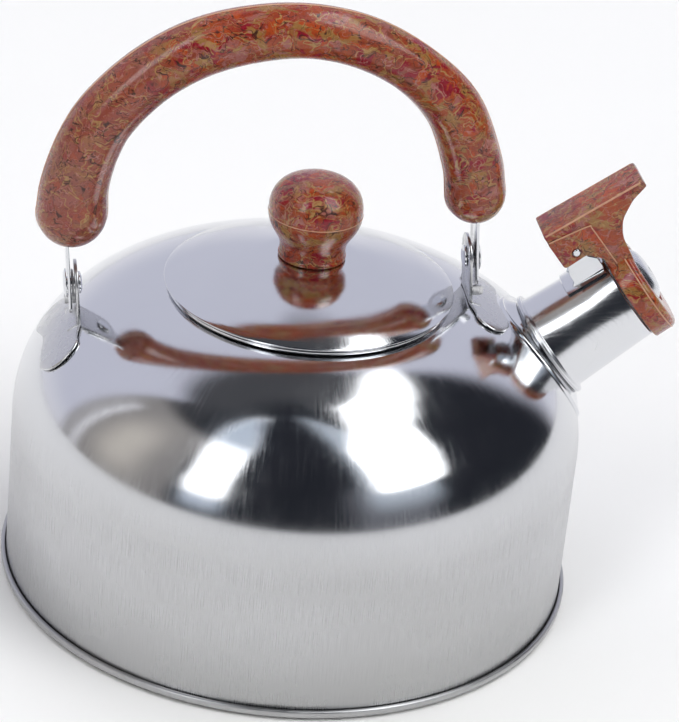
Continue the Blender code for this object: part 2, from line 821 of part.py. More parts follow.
def make_knob():
    hole = INSERT_RADIUS + GAP
    profile = [
        (0, 142.0),
        (5.0, 141.8),
        (9.2, 140.8),
        (12.0, 138.8),
        (13.9, 136.0),
        (14.9, 133.0),
        (15.2, 130.0),
        (14.9, 127.7),
        (13.9, 125.2),
        (12.4, 122.7),
        (11.2, 120.6),
        (10.7, 118.6),
        (10.8, KNOB_FOOT),
        (hole, KNOB_FOOT),
        (hole, INSERT_TOP + GAP),
        (0, INSERT_TOP + GAP),
    ]
    turned("lid_knob", profile, KNOB_STEPS, look=BAKELITE)


def make_knob_fixing():
    """A threaded insert in the knob, and the screw and washer that clamp the knob on the lid."""
    bottom = KNOB_FOOT + GAP
    insert = [
        (INSERT_BORE, INSERT_TOP),
        (INSERT_RADIUS, INSERT_TOP),
        (INSERT_RADIUS, bottom),
        (INSERT_BORE, bottom),
    ]
    turned("knob_insert", insert, SMALL_STEPS, look=BRASS, closed=True)
    under = BOSS_TOP - SHEET - GAP
    washer = [(2.0, under), (6.0, under), (6.0, under - 0.6), (2.0, under - 0.6)]
    turned("knob_washer", washer, SMALL_STEPS, look=SATIN_STEEL, closed=True)
    seat = under - 0.6 - GAP
    screw = [
        (0, SCREW_TOP),
        (1.3, SCREW_TOP),
        (SCREW_RADIUS, SCREW_TOP - 0.5),
        (SCREW_RADIUS, seat),
        (4.0, seat),
        (4.0, seat - 0.8),
        (3.0, seat - 1.9),
        (0, seat - 2.2),
    ]
    turned("knob_screw", screw, SMALL_STEPS, look=SATIN_STEEL)


clear_scene()
pieces = new_collection("whistling_kettle")
cutters = new_collection("cutters")

spout_frame = add_frame(
    "spout_axis", (SPOUT_X * MM, 0, SPOUT_Z * MM), math.radians(90) - SPOUT_TILT
)
pivot_frame = add_frame("handle_pivot", (PIVOT_X * MM, 0, PIVOT_Z * MM), -PIVOT_TILT)
pad_former = make_dome_solid("pad_former", GAP + 0.8)
dome_clearance = make_dome_solid("dome_clearance", GAP)

make_body_shell(spout_frame)
make_base_plate()
make_spout_tube(spout_frame)
make_cap_bracket(spout_frame)
make_cap_pin(spout_frame)
make_cap_spring(spout_frame)
make_cap_lever(spout_frame)
make_whistle(spout_frame)

make_lug_plate("left", -1, -73.6, 0.97, pivot_frame)
make_lug_plate("right", 1, 52.1, 0.99, pivot_frame)
for side_name, side_sign in (("left", -1), ("right", 1)):
    make_strap(side_name, side_sign, pivot_frame)
    make_rivet(side_name, side_sign, pivot_frame)
make_grip(pivot_frame)

make_lid_cover()
make_lid_skirt()
make_knob()
make_knob_fixing()
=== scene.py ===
"""The looks of the stovetop whistling kettle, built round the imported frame.

Lengths are named in millimetres, in the frame's own axes: +Z up, +X towards the spout, origin at the
middle of the base. Every shape is turned, swept or lofted by the helpers below.
"""

import math

import bmesh
import bpy
from mathutils import Matrix, Vector


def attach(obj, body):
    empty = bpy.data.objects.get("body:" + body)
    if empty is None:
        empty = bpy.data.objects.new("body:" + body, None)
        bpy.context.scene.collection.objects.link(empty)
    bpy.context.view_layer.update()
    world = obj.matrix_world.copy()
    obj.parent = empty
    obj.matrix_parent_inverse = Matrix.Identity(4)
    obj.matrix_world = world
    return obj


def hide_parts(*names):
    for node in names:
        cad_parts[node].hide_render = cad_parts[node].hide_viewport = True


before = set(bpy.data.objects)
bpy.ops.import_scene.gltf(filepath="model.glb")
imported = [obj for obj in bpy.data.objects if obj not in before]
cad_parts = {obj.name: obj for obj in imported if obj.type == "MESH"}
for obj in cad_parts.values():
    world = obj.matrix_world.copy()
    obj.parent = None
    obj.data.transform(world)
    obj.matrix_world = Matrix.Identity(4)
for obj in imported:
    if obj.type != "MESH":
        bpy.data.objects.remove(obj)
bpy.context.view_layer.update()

MM = 0.001

# The camera: a product view, turned a little to the left and leaning
CAMERA_TURN = math.radians(-10.5)
CAMERA_PITCH = math.radians(28.13)
CAMERA_ROLL = math.radians(5.81)
CAMERA_DISTANCE = 947.1
CAMERA_LENS = 144.6
CAMERA_AIM_ACROSS, CAMERA_AIM_HEIGHT = 12.31, 77.06

# The vessel's outer line, with the CAD's values
WALL_FOOT_RADIUS, WALL_RADIUS = 93.45, 93.3
WALL_FOOT, SHOULDER_START = 3.2, 54.0
DOME_RADIUS, DOME_HEIGHT = 48.0, 102.2
DOME_SLOPE = math.radians(13.9)
SHOULDER_PULL, DOME_PULL = 25.4, 27.5
LIP_RADIUS, LIP_TOP, LIP_BOTTOM = 44.95, 103.7, 100.0
BOSS_TOP = 114.3
SHEET = 0.7

# The spout's frame has +Z along its axis and -X to its upper side
SPOUT_X, SPOUT_Z = 80.0, 82.0
SPOUT_TILT = math.radians(38.9)
NECK_RADIUS, NECK_FOOT_RADIUS, NECK_FOOT_DROP = 16.9, 23.6, 2.3
LIP_A = 1.6
TUBE_FOOT_A, TUBE_MOUTH_A = 3.6, 32.9
TUBE_FOOT_RADIUS, TUBE_MOUTH_RADIUS = 16.7, 15.4
PIN_A, PIN_N = 28.1, 27.3
CAP_BACK, CAP_FACE, CAP_RADIUS = 33.5, 41.5, 17.3
WHISTLE_N, WHISTLE_RADIUS = 3.0, 10.4

# The handle's frame has +X along the line of the two rivets
PIVOT_X, PIVOT_Z = -12.0, 109.2
PIVOT_TILT = math.radians(5.62)
PIVOT_HALF_SPAN = 64.31
PLATE, PLATE_OFFSET = 1.0, 1.15

TURN_STEPS = 192
SMALL_TURN_STEPS = 72

SPOUT_FRAME = Matrix.Translation((SPOUT_X, 0, SPOUT_Z)) @ Matrix.Rotation(
    math.radians(90) - SPOUT_TILT, 4, "Y"
)
PIVOT_FRAME = Matrix.Translation((PIVOT_X, 0, PIVOT_Z)) @ Matrix.Rotation(-PIVOT_TILT, 4, "Y")
WORLD_FRAME = Matrix.Identity(4)


# Mesh helpers


def new_object(name, data):
    obj = bpy.data.objects.new(name, data)
    bpy.context.scene.collection.objects.link(obj)
    return obj


def new_mesh(name, work):
    """A mesh from a bmesh, which is then used up."""
    mesh = bpy.data.meshes.new(name)
    work.to_mesh(mesh)
    work.free()
    return mesh


def finish_mesh(name, work, place, body, material, nodes, sharp=35, seam=None):
    """Turns a bmesh in millimetres into a smooth-shaded piece that rides on a body.

    Faces whose middle passes the seam test get the material of a moulding's parting line.
    """
    if seam:
        for face in work.faces:
            face.material_index = int(seam(face.calc_center_median()))
    work.transform(Matrix.Scale(MM, 4) @ place)
    bmesh.ops.recalc_face_normals(work, faces=work.faces)
    mesh = new_mesh(name, work)
    mesh.shade_smooth()
    mesh.set_sharp_from_angle(angle=math.radians(sharp))
    mesh.materials.append(material)
    if seam:
        mesh.materials.append(SEAM_AND_GLINT)
    obj = new_object(name, mesh)
    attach(obj, body)
    if nodes:
        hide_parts(*nodes)


def add_rings(work, rings, wrap_rings=False, cap_start=False, cap_end=False):
    """Quads between consecutive closed rings of points; a ring of one point makes a fan."""
    made = [[work.verts.new(point) for point in ring] for ring in rings]
    pairs = list(zip(made, made[1:]))
    if wrap_rings:
        pairs.append((made[-1], made[0]))
    for first, second in pairs:
        count = max(len(first), len(second))
        for k in range(count):
            after = (k + 1) % count
            corners = [
                first[k % len(first)],
                first[after % len(first)],
                second[after % len(second)],
                second[k % len(second)],
            ]
            unique = [v for i, v in enumerate(corners) if v not in corners[:i]]
            if len(unique) > 2:
                work.faces.new(unique)
    if cap_start:
        work.faces.new(made[0][::-1])
    if cap_end:
        work.faces.new(made[-1])


def turned_rings(profile, steps):
    rings = []
    for radius, height in profile:
        if radius < 1e-6:
            rings.append([(0, 0, height)])
            continue
        angles = [2 * math.pi * k / steps for k in range(steps)]
        rings.append([(radius * math.cos(a), radius * math.sin(a), height) for a in angles])
    return rings


def turned(profile, steps=TURN_STEPS, closed=False):
    work = bmesh.new()
    add_rings(work, turned_rings(profile, steps), wrap_rings=closed)
    return work


def rounded(corners, closed=False, steps=5):
    """A line through (u, v, radius) corners, with an arc of that radius at each."""
    count = len(corners)
    line = []
    for i, (u, v, radius) in enumerate(corners):
        here = Vector((u, v))
        if radius <= 0 or (not closed and i in (0, count - 1)):
            line.append((u, v))
            continue
        before = Vector(corners[i - 1][:2]) - here
        after = Vector(corners[(i + 1) % count][:2]) - here
        bend = before.angle(after)
        if bend > math.pi - 0.02:
            line.append((u, v))
            continue
        reach = min(radius / math.tan(bend / 2), 0.48 * before.length, 0.48 * after.length)
        true_radius = reach * math.tan(bend / 2)
        middle_way = (before.normalized() + after.normalized()).normalized()
        centre = here + middle_way * (true_radius / math.sin(bend / 2))
        start = here + before.normalized() * reach - centre
        end = here + after.normalized() * reach - centre
        turn = start.angle_signed(end)
        for k in range(steps + 1):
            arm = start.copy()
            arm.rotate(Matrix.Rotation(-turn * k / steps, 2))
            line.append(tuple(centre + arm))
    return line


def bezier(p0, p1, p2, p3, count):
    points = []
    for i in range(count + 1):
        t = i / count
        s = 1 - t
        parts = zip(p0, p1, p2, p3)
        point = [s**3 * a + 3 * s * s * t * b + 3 * s * t * t * c + t**3 * d for a, b, c, d in parts]
        points.append(tuple(point))
    return points


def catmull(points, per_span):
    """Smooth points through a list of equal-length tuples."""
    given = [Vector(p) for p in points]
    ends = [2 * given[0] - given[1]] + given + [2 * given[-1] - given[-2]]
    smooth = []
    for before, start, end, after in zip(ends, ends[1:], ends[2:], ends[3:]):
        for i in range(per_span):
            t = i / per_span
            smooth.append(
                0.5
                * (
                    2 * start
                    + (end - before) * t
                    + (2 * before - 5 * start + 4 * end - after) * t**2
                    + (3 * start - before - 3 * end + after) * t**3
                )
            )
    return smooth + [given[-1]]


def offset_line(line, distance):
    """The line moved to its right-hand side by a distance."""
    moved = []
    for i, (u, v) in enumerate(line):
        before, after = line[max(i - 1, 0)], line[min(i + 1, len(line) - 1)]
        run = Vector((after[0] - before[0], after[1] - before[1])).normalized()
        moved.append((u + run.y * distance, v - run.x * distance))
    return moved


def extruded(outline, low, high, axes="XZ"):
    """A closed outline given thickness; axes name the plane, and the third axis runs low to high."""
    work = bmesh.new()
    order = {"XZ": lambda u, v, w: (u, w, v), "YZ": lambda u, v, w: (w, u, v)}
    place = order[axes]
    first = [work.verts.new(place(u, v, low)) for u, v in outline]
    second = [work.verts.new(place(u, v, high)) for u, v in outline]
    work.faces.new(first[::-1])
    work.faces.new(second)
    for k in range(len(outline)):
        after = (k + 1) % len(outline)
        work.faces.new((first[k], first[after], second[after], second[k]))
    bmesh.ops.recalc_face_normals(work, faces=work.faces)
    return work


# The vessel's shape


def shoulder_line(count):
    leave = (DOME_RADIUS + DOME_PULL * math.cos(DOME_SLOPE), DOME_HEIGHT - DOME_PULL * math.sin(DOME_SLOPE))
    arrive = (WALL_RADIUS, SHOULDER_START + SHOULDER_PULL)
    return bezier((DOME_RADIUS, DOME_HEIGHT), leave, arrive, (WALL_RADIUS, SHOULDER_START), count)


SHOULDER = shoulder_line(400)


def shoulder_span(comes_before):
    """The neighbouring points of the shoulder's line where a test of (radius, height) stops holding."""
    low, high = 0, len(SHOULDER) - 1
    while high - low > 1:
        middle = (low + high) // 2
        if comes_before(*SHOULDER[middle]):
            low = middle
        else:
            high = middle
    return SHOULDER[low], SHOULDER[high]


def vessel_radius(height):
    if height <= SHOULDER_START:
        return WALL_RADIUS
    (r1, z1), (r2, z2) = shoulder_span(lambda r, z: z > height)
    if height > z1:
        return 0.0
    return r1 + (r2 - r1) * (z1 - height) / (z1 - z2)


def vessel_height(radius):
    """The dome's height at a radius inside the wall."""
    (r1, z1), (r2, z2) = shoulder_span(lambda r, z: r < radius)
    return z1 + (z2 - z1) * (radius - r1) / (r2 - r1)


def spout_point(a, n, y):
    return SPOUT_FRAME @ Vector((-n, y, a))


def dome_distance(n, y):
    """How far along the spout's axis a parallel line meets the dome."""
    inside, outside = -20.0, 15.0
    for _ in range(30):
        middle = (inside + outside) / 2
        point = spout_point(middle, n, y)
        if math.hypot(point.x, point.y) > vessel_radius(point.z):
            outside = middle
        else:
            inside = middle
    return inside


# Node materials, written as short expressions


class Nodes:
    """A material's node tree, with one method for each kind of node used here."""

    def __init__(self, name):
        self.material = bpy.data.materials.new(name)
        self.material.use_nodes = True
        self.tree = self.material.node_tree
        self.shader = self.tree.nodes["Principled BSDF"]

    def fill(self, socket, value):
        """Links a socket to another node's output, or sets it to a constant."""
        if isinstance(value, bpy.types.NodeSocket):
            self.tree.links.new(value, socket)
        else:
            socket.default_value = value

    def add(self, kind, inputs, output=0, **settings):
        node = self.tree.nodes.new(kind)
        for key, value in settings.items():
            setattr(node, key, value)
        for key, value in inputs.items():
            self.fill(node.inputs[key], value)
        return node.outputs[output]

    def place(self):
        return self.add("ShaderNodeTexCoord", {}, "Object")

    def scaled(self, vector, scale, shift=(0, 0, 0)):
        return self.add("ShaderNodeMapping", {"Vector": vector, "Scale": scale, "Location": shift})

    def parts(self, vector):
        node = self.tree.nodes.new("ShaderNodeSeparateXYZ")
        self.tree.links.new(vector, node.inputs[0])
        return node.outputs

    def math(self, operation, first, second=0.0):
        return self.add("ShaderNodeMath", {0: first, 1: second}, operation=operation)

    def noise(self, vector, scale, detail, roughness=0.5, distortion=0.0):
        inputs = {
            "Vector": vector,
            "Scale": scale,
            "Detail": detail,
            "Roughness": roughness,
            "Distortion": distortion,
        }
        return self.add("ShaderNodeTexNoise", inputs, "Fac")

    def steps(self, value, low, high, to_low=0.0, to_high=1.0):
        inputs = {"Value": value, "From Min": low, "From Max": high, "To Min": to_low, "To Max": to_high}
        return self.add("ShaderNodeMapRange", inputs, interpolation_type="SMOOTHSTEP")

    def mix(self, share, first, second):
        node = self.tree.nodes.new("ShaderNodeMix")
        node.data_type = "RGBA"
        for index, value in ((0, share), (6, first), (7, second)):
            self.fill(node.inputs[index], value)
        return node.outputs[2]

    def ramp(self, value, stops):
        node = self.tree.nodes.new("ShaderNodeValToRGB")
        self.tree.links.new(value, node.inputs[0])
        elements = node.color_ramp.elements
        while len(elements) < len(stops):
            elements.new(0.5)
        for element, (position, colour) in zip(elements, stops):
            element.position = position
            element.color = (*colour, 1)
        return node.outputs[0]

    def bump(self, height, strength, distance):
        return self.add("ShaderNodeBump", {"Height": height, "Strength": strength, "Distance": distance})

    def set(self, **inputs):
        for name, value in inputs.items():
            self.fill(self.shader.inputs[name.replace("_", " ")], value)
        return self.material


def steel_material(name, roughness, smudge, grained=0.0, brushed=False):
    """Polished stainless steel. Grain is a fine upright scratching that hazes its reflections, and
    brushed adds the satin finish of the lower wall, with painted shade that darkens it towards the base."""
    net = Nodes(name)
    place = net.place()
    x, y, z = net.parts(place)
    cloud = net.noise(net.scaled(place, (40, 40, 40)), 1.0, 3)
    rough = net.steps(cloud, 0.3, 0.75, roughness, roughness + smudge)
    colour = net.mix(cloud, (0.70, 0.71, 0.735, 1), (0.76, 0.765, 0.78, 1))
    angle = net.math("ARCTAN2", y, x)
    around = net.math("MULTIPLY", angle, 700.0)
    along = net.math("MULTIPLY", z, 90.0)
    grain_place = net.add("ShaderNodeCombineXYZ", {"X": around, "Y": along, "Z": 0.0})
    grain = net.noise(grain_place, 1.0, 4, 0.65)
    rough = net.math("ADD", rough, net.steps(grain, 0.46, 0.66, 0.0, grained))
    if brushed:
        satin = net.steps(z, 0.084, 0.046)
        rough = net.math("ADD", rough, net.math("MULTIPLY", satin, 0.2))
        blotch = net.noise(net.scaled(place, (14, 14, 30)), 1.0, 3)
        satin_and_shade = net.mix(net.steps(grain, 0.3, 0.7), (0.47, 0.47, 0.48, 1), (0.61, 0.61, 0.62, 1))
        satin_and_shade = net.mix(net.steps(blotch, 0.4, 0.7, 0.0, 0.4), satin_and_shade, (0.46, 0.46, 0.46, 1))
        # Painted shade: the satin colour darkens towards the base, standing for the shadow round the foot
        # reflected in the wall
        satin_and_shade = net.mix(net.steps(z, 0.032, 0.004, 0.0, 0.7), satin_and_shade, (0.42, 0.42, 0.42, 1))
        colour = net.mix(satin, colour, satin_and_shade)
    normal = net.bump(grain, 0.06, 0.0001)
    return net.set(Base_Color=colour, Metallic=1.0, Roughness=rough, Normal=normal)


def satin_material(name, roughness=0.3, dark=0.42, light=0.55):
    net = Nodes(name)
    place = net.place()
    cloud = net.noise(net.scaled(place, (150, 150, 150)), 1.0, 3)
    colour = net.mix(cloud, (dark, dark, dark * 1.01, 1), (light, light, light * 1.01, 1))
    rough = net.steps(cloud, 0.3, 0.7, roughness, roughness + 0.12)
    normal = net.bump(net.noise(net.scaled(place, (1500, 1500, 1500)), 1.0, 2), 0.1, 0.0001)
    return net.set(Base_Color=colour, Metallic=1.0, Roughness=rough, Normal=normal)


def marbled_material(name):
    """Glossy phenolic moulding: brick red run through with ochre, rose, crimson and dark threads."""
    net = Nodes(name)
    place = net.place()

    drift = net.add("ShaderNodeTexNoise", {"Vector": place, "Scale": 130.0, "Detail": 2.0}, "Color")
    pull = (0.008, 0.008, 0.008)
    swirled = net.add("ShaderNodeVectorMath", {0: drift, 1: pull, 2: place}, operation="MULTIPLY_ADD")

    def threads(shift, scale, width):
        """Thin wandering lines, where a drawn-out noise crosses its middle value."""
        cloud = net.noise(net.scaled(swirled, (0.6, 1, 1), shift), scale, 2, 0.6, 0.8)
        away = net.math("ABSOLUTE", net.math("SUBTRACT", cloud, 0.5))
        return net.steps(away, width, 0.0)

    def patches(shift, scale, low, high):
        """Ragged islands a few millimetres long, drawn out along the handle."""
        cloud = net.noise(net.scaled(swirled, (0.6, 1, 1), shift), scale, 3, 0.55, 0.4)
        return net.steps(cloud, low, high)

    region = net.noise(place, 30.0, 2, 0.5, 0.4)
    stops = (
        (0.36, (0.25, 0.095, 0.07)),
        (0.46, (0.27, 0.048, 0.022)),
        (0.54, (0.36, 0.062, 0.014)),
        (0.64, (0.29, 0.038, 0.02)),
    )
    colour = net.ramp(region, stops)
    colour = net.mix(patches((3, 1, 7), 210.0, 0.52, 0.60), colour, (0.32, 0.155, 0.045, 1))
    colour = net.mix(patches((9, 4, 2), 190.0, 0.56, 0.64), colour, (0.36, 0.12, 0.10, 1))
    colour = net.mix(patches((5, 8, 1), 180.0, 0.57, 0.62), colour, (0.26, 0.008, 0.02, 1))
    colour = net.mix(patches((1, 3, 5), 240.0, 0.58, 0.64), colour, (0.42, 0.06, 0.012, 1))
    calm = net.steps(net.parts(place)[0], -0.04, -0.068, 0.0, 0.6)
    colour = net.mix(calm, colour, (0.29, 0.088, 0.062, 1))
    colour = net.mix(threads((2, 5, 3), 150.0, 0.022), colour, (0.42, 0.24, 0.085, 1))
    colour = net.mix(threads((8, 2, 6), 170.0, 0.018), colour, (0.045, 0.016, 0.012, 1))
    colour = net.mix(threads((4, 9, 9), 200.0, 0.014), colour, (0.42, 0.17, 0.14, 1))
    fleck = net.noise(net.scaled(place, (1, 1, 1), (2, 6, 4)), 700.0, 2, 0.6)
    colour = net.mix(net.steps(fleck, 0.55, 0.70, 0.0, 0.5), colour, (0.08, 0.024, 0.016, 1))
    colour = net.mix(net.steps(fleck, 0.44, 0.30, 0.0, 0.3), colour, (0.42, 0.20, 0.10, 1))
    colour = net.mix(0.08, colour, (0.02, 0.006, 0.004, 1))
    rough = net.steps(fleck, 0.3, 0.7, 0.24, 0.32)
    normal = net.bump(region, 0.1, 0.001)
    return net.set(
        Base_Color=colour,
        Roughness=rough,
        Normal=normal,
        Coat_Weight=0.5,
        Coat_Roughness=0.08,
        Specular_IOR_Level=0.2,
    )


def clouded_material(name, scale, first, second, smoothest, roughest, metallic=0.0):
    """Two close colours and a roughness that drift together."""
    net = Nodes(name)
    cloud = net.noise(net.scaled(net.place(), (scale, scale, scale)), 1.0, 3)
    rough = net.steps(cloud, 0.3, 0.7, smoothest, roughest)
    return net.set(Base_Color=net.mix(cloud, first, second), Metallic=metallic, Roughness=rough)


BODY_STEEL = steel_material("body_steel", 0.05, 0.04, 0.11, brushed=True)
LID_STEEL = steel_material("lid_steel", 0.04, 0.05, 0.08)
BRIGHT_STEEL = steel_material("bright_steel", 0.05, 0.06)
PRESSED_STEEL = steel_material("pressed_steel", 0.12, 0.08)
SPOUT_STEEL = steel_material("spout_steel", 0.13, 0.05, 0.10)
WHISTLE_STEEL = steel_material("whistle_steel", 0.22, 0.05, 0.06)
LUG_STEEL = satin_material("lug_steel", 0.22, 0.61, 0.66)
SATIN_STEEL = satin_material("satin_steel")
MARBLED = marbled_material("marbled_moulding")
# The paler, matt flash along the moulding's parting lines, also a painted highlight for the glints along the
# cap's edges
SEAM_AND_GLINT = clouded_material("moulding_seam_and_glint", 400, (0.46, 0.20, 0.11, 1), (0.66, 0.40, 0.26, 1), 0.3, 0.5)
BRASS = clouded_material("insert_brass", 200, (0.62, 0.42, 0.16, 1), (0.78, 0.58, 0.27, 1), 0.22, 0.38, 1.0)


# Pieces of the vessel


def in_neck(point):
    local = SPOUT_FRAME.inverted() @ Vector(point)
    return local.z > -20 and math.hypot(local.x - NECK_FOOT_DROP, local.y) < NECK_FOOT_RADIUS - 1.4


def make_shell():
    dome = shoulder_line(90)
    flare, drop = WALL_FOOT_RADIUS - WALL_RADIUS, SHOULDER_START - WALL_FOOT
    wall = [(WALL_RADIUS + flare * k / 10, SHOULDER_START - drop * k / 10) for k in range(1, 11)]
    lip_outside = LIP_RADIUS + SHEET
    lip = [
        (LIP_RADIUS, LIP_BOTTOM, 0),
        (LIP_RADIUS, LIP_TOP - 0.2, 0.34),
        (lip_outside, LIP_TOP - 0.2, 0.34),
        (lip_outside, LIP_TOP - 0.95, 0.4),
        (*dome[0], 0),
    ]
    lip = rounded(lip, steps=6)[:-1]
    edge, top, bottom = 94.25, 2.4, 1.75
    foot = rounded([(*wall[-1], 0), (WALL_FOOT_RADIUS, top, 0.4), (edge, top, 0), (edge, bottom, 0)])[1:]
    outer = lip + dome + wall + foot
    inner = [(WALL_FOOT_RADIUS - SHEET, bottom), (WALL_RADIUS - SHEET, SHOULDER_START)]
    inner += offset_line(shoulder_line(30), SHEET)[::-1][1:]
    inner += [(lip_outside, LIP_TOP - 1.7), (lip_outside, LIP_BOTTOM)]
    work = turned(outer + inner, closed=True)
    hidden = [face for face in work.faces if in_neck(face.calc_center_median())]
    bmesh.ops.delete(work, geom=hidden, context="FACES")
    finish_mesh("shell", work, WORLD_FRAME, "vessel", BODY_STEEL, ["body_shell"], 50)


def make_neck():
    """The drawn neck: a trumpet from the seam down to a rolled foot on the dome."""
    steps, rings = 144, []
    bead_start, bead, sink = 0.9, 0.8, 0.25
    shares = [k / 24 for k in range(22)] + [0.9, 0.925, 0.95, 0.97, 0.985, 1.0, 1.04]
    bore, edge, top = 16.3, 17.8, 2.2
    lip = [(bore, 1.0, 0), (bore, top, 0.2), (edge, top, 0.28), (edge, LIP_A, 0.28), (NECK_RADIUS, LIP_A, 0)]
    angles = [2 * math.pi * k / steps for k in range(steps)]
    for radius, a in rounded(lip)[:-1]:
        rings.append([spout_point(a, radius * math.cos(w), radius * math.sin(w)) for w in angles])
    for t in shares:
        ring = []
        for angle in angles:
            radius = NECK_RADIUS + (NECK_FOOT_RADIUS - NECK_RADIUS) * t
            drop = NECK_FOOT_DROP * t
            n, y = radius * math.cos(angle) - drop, radius * math.sin(angle)
            dome = dome_distance(n, y)
            if t < bead_start:
                swell = bead * (t / bead_start) ** 3
            else:
                swell = bead * math.sqrt(max(0, 1 - ((t - bead_start) / (1 - bead_start)) ** 2))
            sweep = (LIP_A - dome) * max(0, 1 - t) ** 2.0
            ring.append(spout_point(dome + sweep + swell - (sink if t > 1 else 0), n, y))
        rings.append(ring)
    work = bmesh.new()
    add_rings(work, rings)
    finish_mesh("neck", work, WORLD_FRAME, "vessel", BRIGHT_STEEL, [], 60)


def make_base():
    profile = [
        (0, 0.9, 0),
        (88.0, 0.9, 0.5),
        (89.6, 1.4, 0.3),
        (94.4, 1.4, 0.1),
        (94.4, 2.75, 0.1),
        (93.8, 2.75, 0.1),
        (93.8, 3.4, 0.3),
        (95.2, 3.4, 1.1),
        (95.2, 0.7, 1.1),
        (89.9, 0.7, 0.3),
        (88.4, 0, 0.5),
        (0, 0, 0),
    ]
    work = turned(rounded(profile))
    finish_mesh("base_hem", work, WORLD_FRAME, "vessel", SATIN_STEEL, ["base_plate"])


def make_spout():
    slope = (TUBE_MOUTH_RADIUS - TUBE_FOOT_RADIUS) / (TUBE_MOUTH_A - TUBE_FOOT_A)
    profile = [
        (TUBE_MOUTH_RADIUS - SHEET, TUBE_MOUTH_A, 0.3),
        (TUBE_MOUTH_RADIUS, TUBE_MOUTH_A, 0.3),
        (TUBE_MOUTH_RADIUS - slope * 10, TUBE_MOUTH_A - 10, 0),
        (TUBE_MOUTH_RADIUS - slope * 20, TUBE_MOUTH_A - 20, 0),
        (TUBE_FOOT_RADIUS, TUBE_FOOT_A, 0.7),
        (17.1, 3.3, 0.3),
        (17.5, 3.3, 0.15),
        (17.5, 3.05, 0.1),
        (17.8, 3.15, 0.2),
        (18.5, 3.0, 0.3),
        (18.5, 2.45, 0.15),
        (18.2, 2.35, 0.1),
        (18.5, 2.2, 0.15),
        (18.5, 1.8, 0.2),
        (18.05, 1.8, 0.1),
        (18.05, 2.5, 0),
        (16.9, 2.5, 0.2),
        (TUBE_FOOT_RADIUS - SHEET, TUBE_FOOT_A, 0),
    ]
    work = turned(rounded(profile, closed=True, steps=4), 144, closed=True)
    finish_mesh("spout", work, SPOUT_FRAME, "vessel", SPOUT_STEEL, ["spout_tube"], 50)


# Working with solids


def bevelled(work, width, segments=3, angle=50):
    """Rounds every edge where two faces meet at more than an angle."""
    limit = math.radians(angle)
    edges = [edge for edge in work.edges if len(edge.link_faces) == 2 and edge.calc_face_angle() > limit]
    shape = {"offset": width, "segments": segments, "profile": 0.5}
    bmesh.ops.bevel(work, geom=edges, affect="EDGES", clamp_overlap=True, **shape)
    return work


def combined(target, *others):
    """One solid from several, by (operation, solid) steps of Booleans."""
    for operation, other in others:
        base, tool = (new_object("working", new_mesh("working", solid)) for solid in (target, other))
        change = base.modifiers.new("step", "BOOLEAN")
        change.operation = operation
        change.solver = "MANIFOLD"
        change.object = tool
        bpy.context.view_layer.update()
        evaluated = base.evaluated_get(bpy.context.evaluated_depsgraph_get())
        target = bmesh.new()
        target.from_mesh(evaluated.to_mesh())
        for obj in (base, tool):
            bpy.data.objects.remove(obj, do_unlink=True)
    return target


def rod(radius, low, high, steps, axis="Z", centre=(0, 0, 0)):
    work = turned([(0, low), (radius, low), (radius, high), (0, high)], steps)
    bmesh.ops.recalc_face_normals(work, faces=work.faces)
    turns = {"Z": Matrix.Identity(4), "Y": Matrix.Rotation(-math.pi / 2, 4, "X")}
    work.transform(Matrix.Translation(centre) @ turns[axis])
    return work


def merged(first, *others):
    """Several solids as one mesh, with no Boolean."""
    for other in others:
        mesh = new_mesh("working", other)
        first.from_mesh(mesh)
        bpy.data.meshes.remove(mesh)
    return first


def arc(centre_u, centre_v, radius, start, end, count):
    step = (end - start) / count
    angles = [math.radians(start + step * i) for i in range(count + 1)]
    return [(centre_u + radius * math.cos(a), centre_v + radius * math.sin(a)) for a in angles]


def in_spout(outline):
    """(a, n, corner radius) points as the spout frame's (x, z)."""
    return [(-n, a, radius) for a, n, radius in outline]


def swept(route, radius, steps):
    """A round wire along a route of points."""
    points = [Vector(p) for p in route]
    rings = []
    side = None
    for i, point in enumerate(points):
        run = (points[min(i + 1, len(points) - 1)] - points[max(i - 1, 0)]).normalized()
        side = run.orthogonal().normalized() if side is None else (side - run * side.dot(run)).normalized()
        over = run.cross(side)
        angles = [2 * math.pi * k / steps for k in range(steps)]
        rings.append([point + radius * (math.cos(a) * side + math.sin(a) * over) for a in angles])
    work = bmesh.new()
    add_rings(work, rings, cap_start=True, cap_end=True)
    return work


# Bracket, pin, spring and the whistle cap


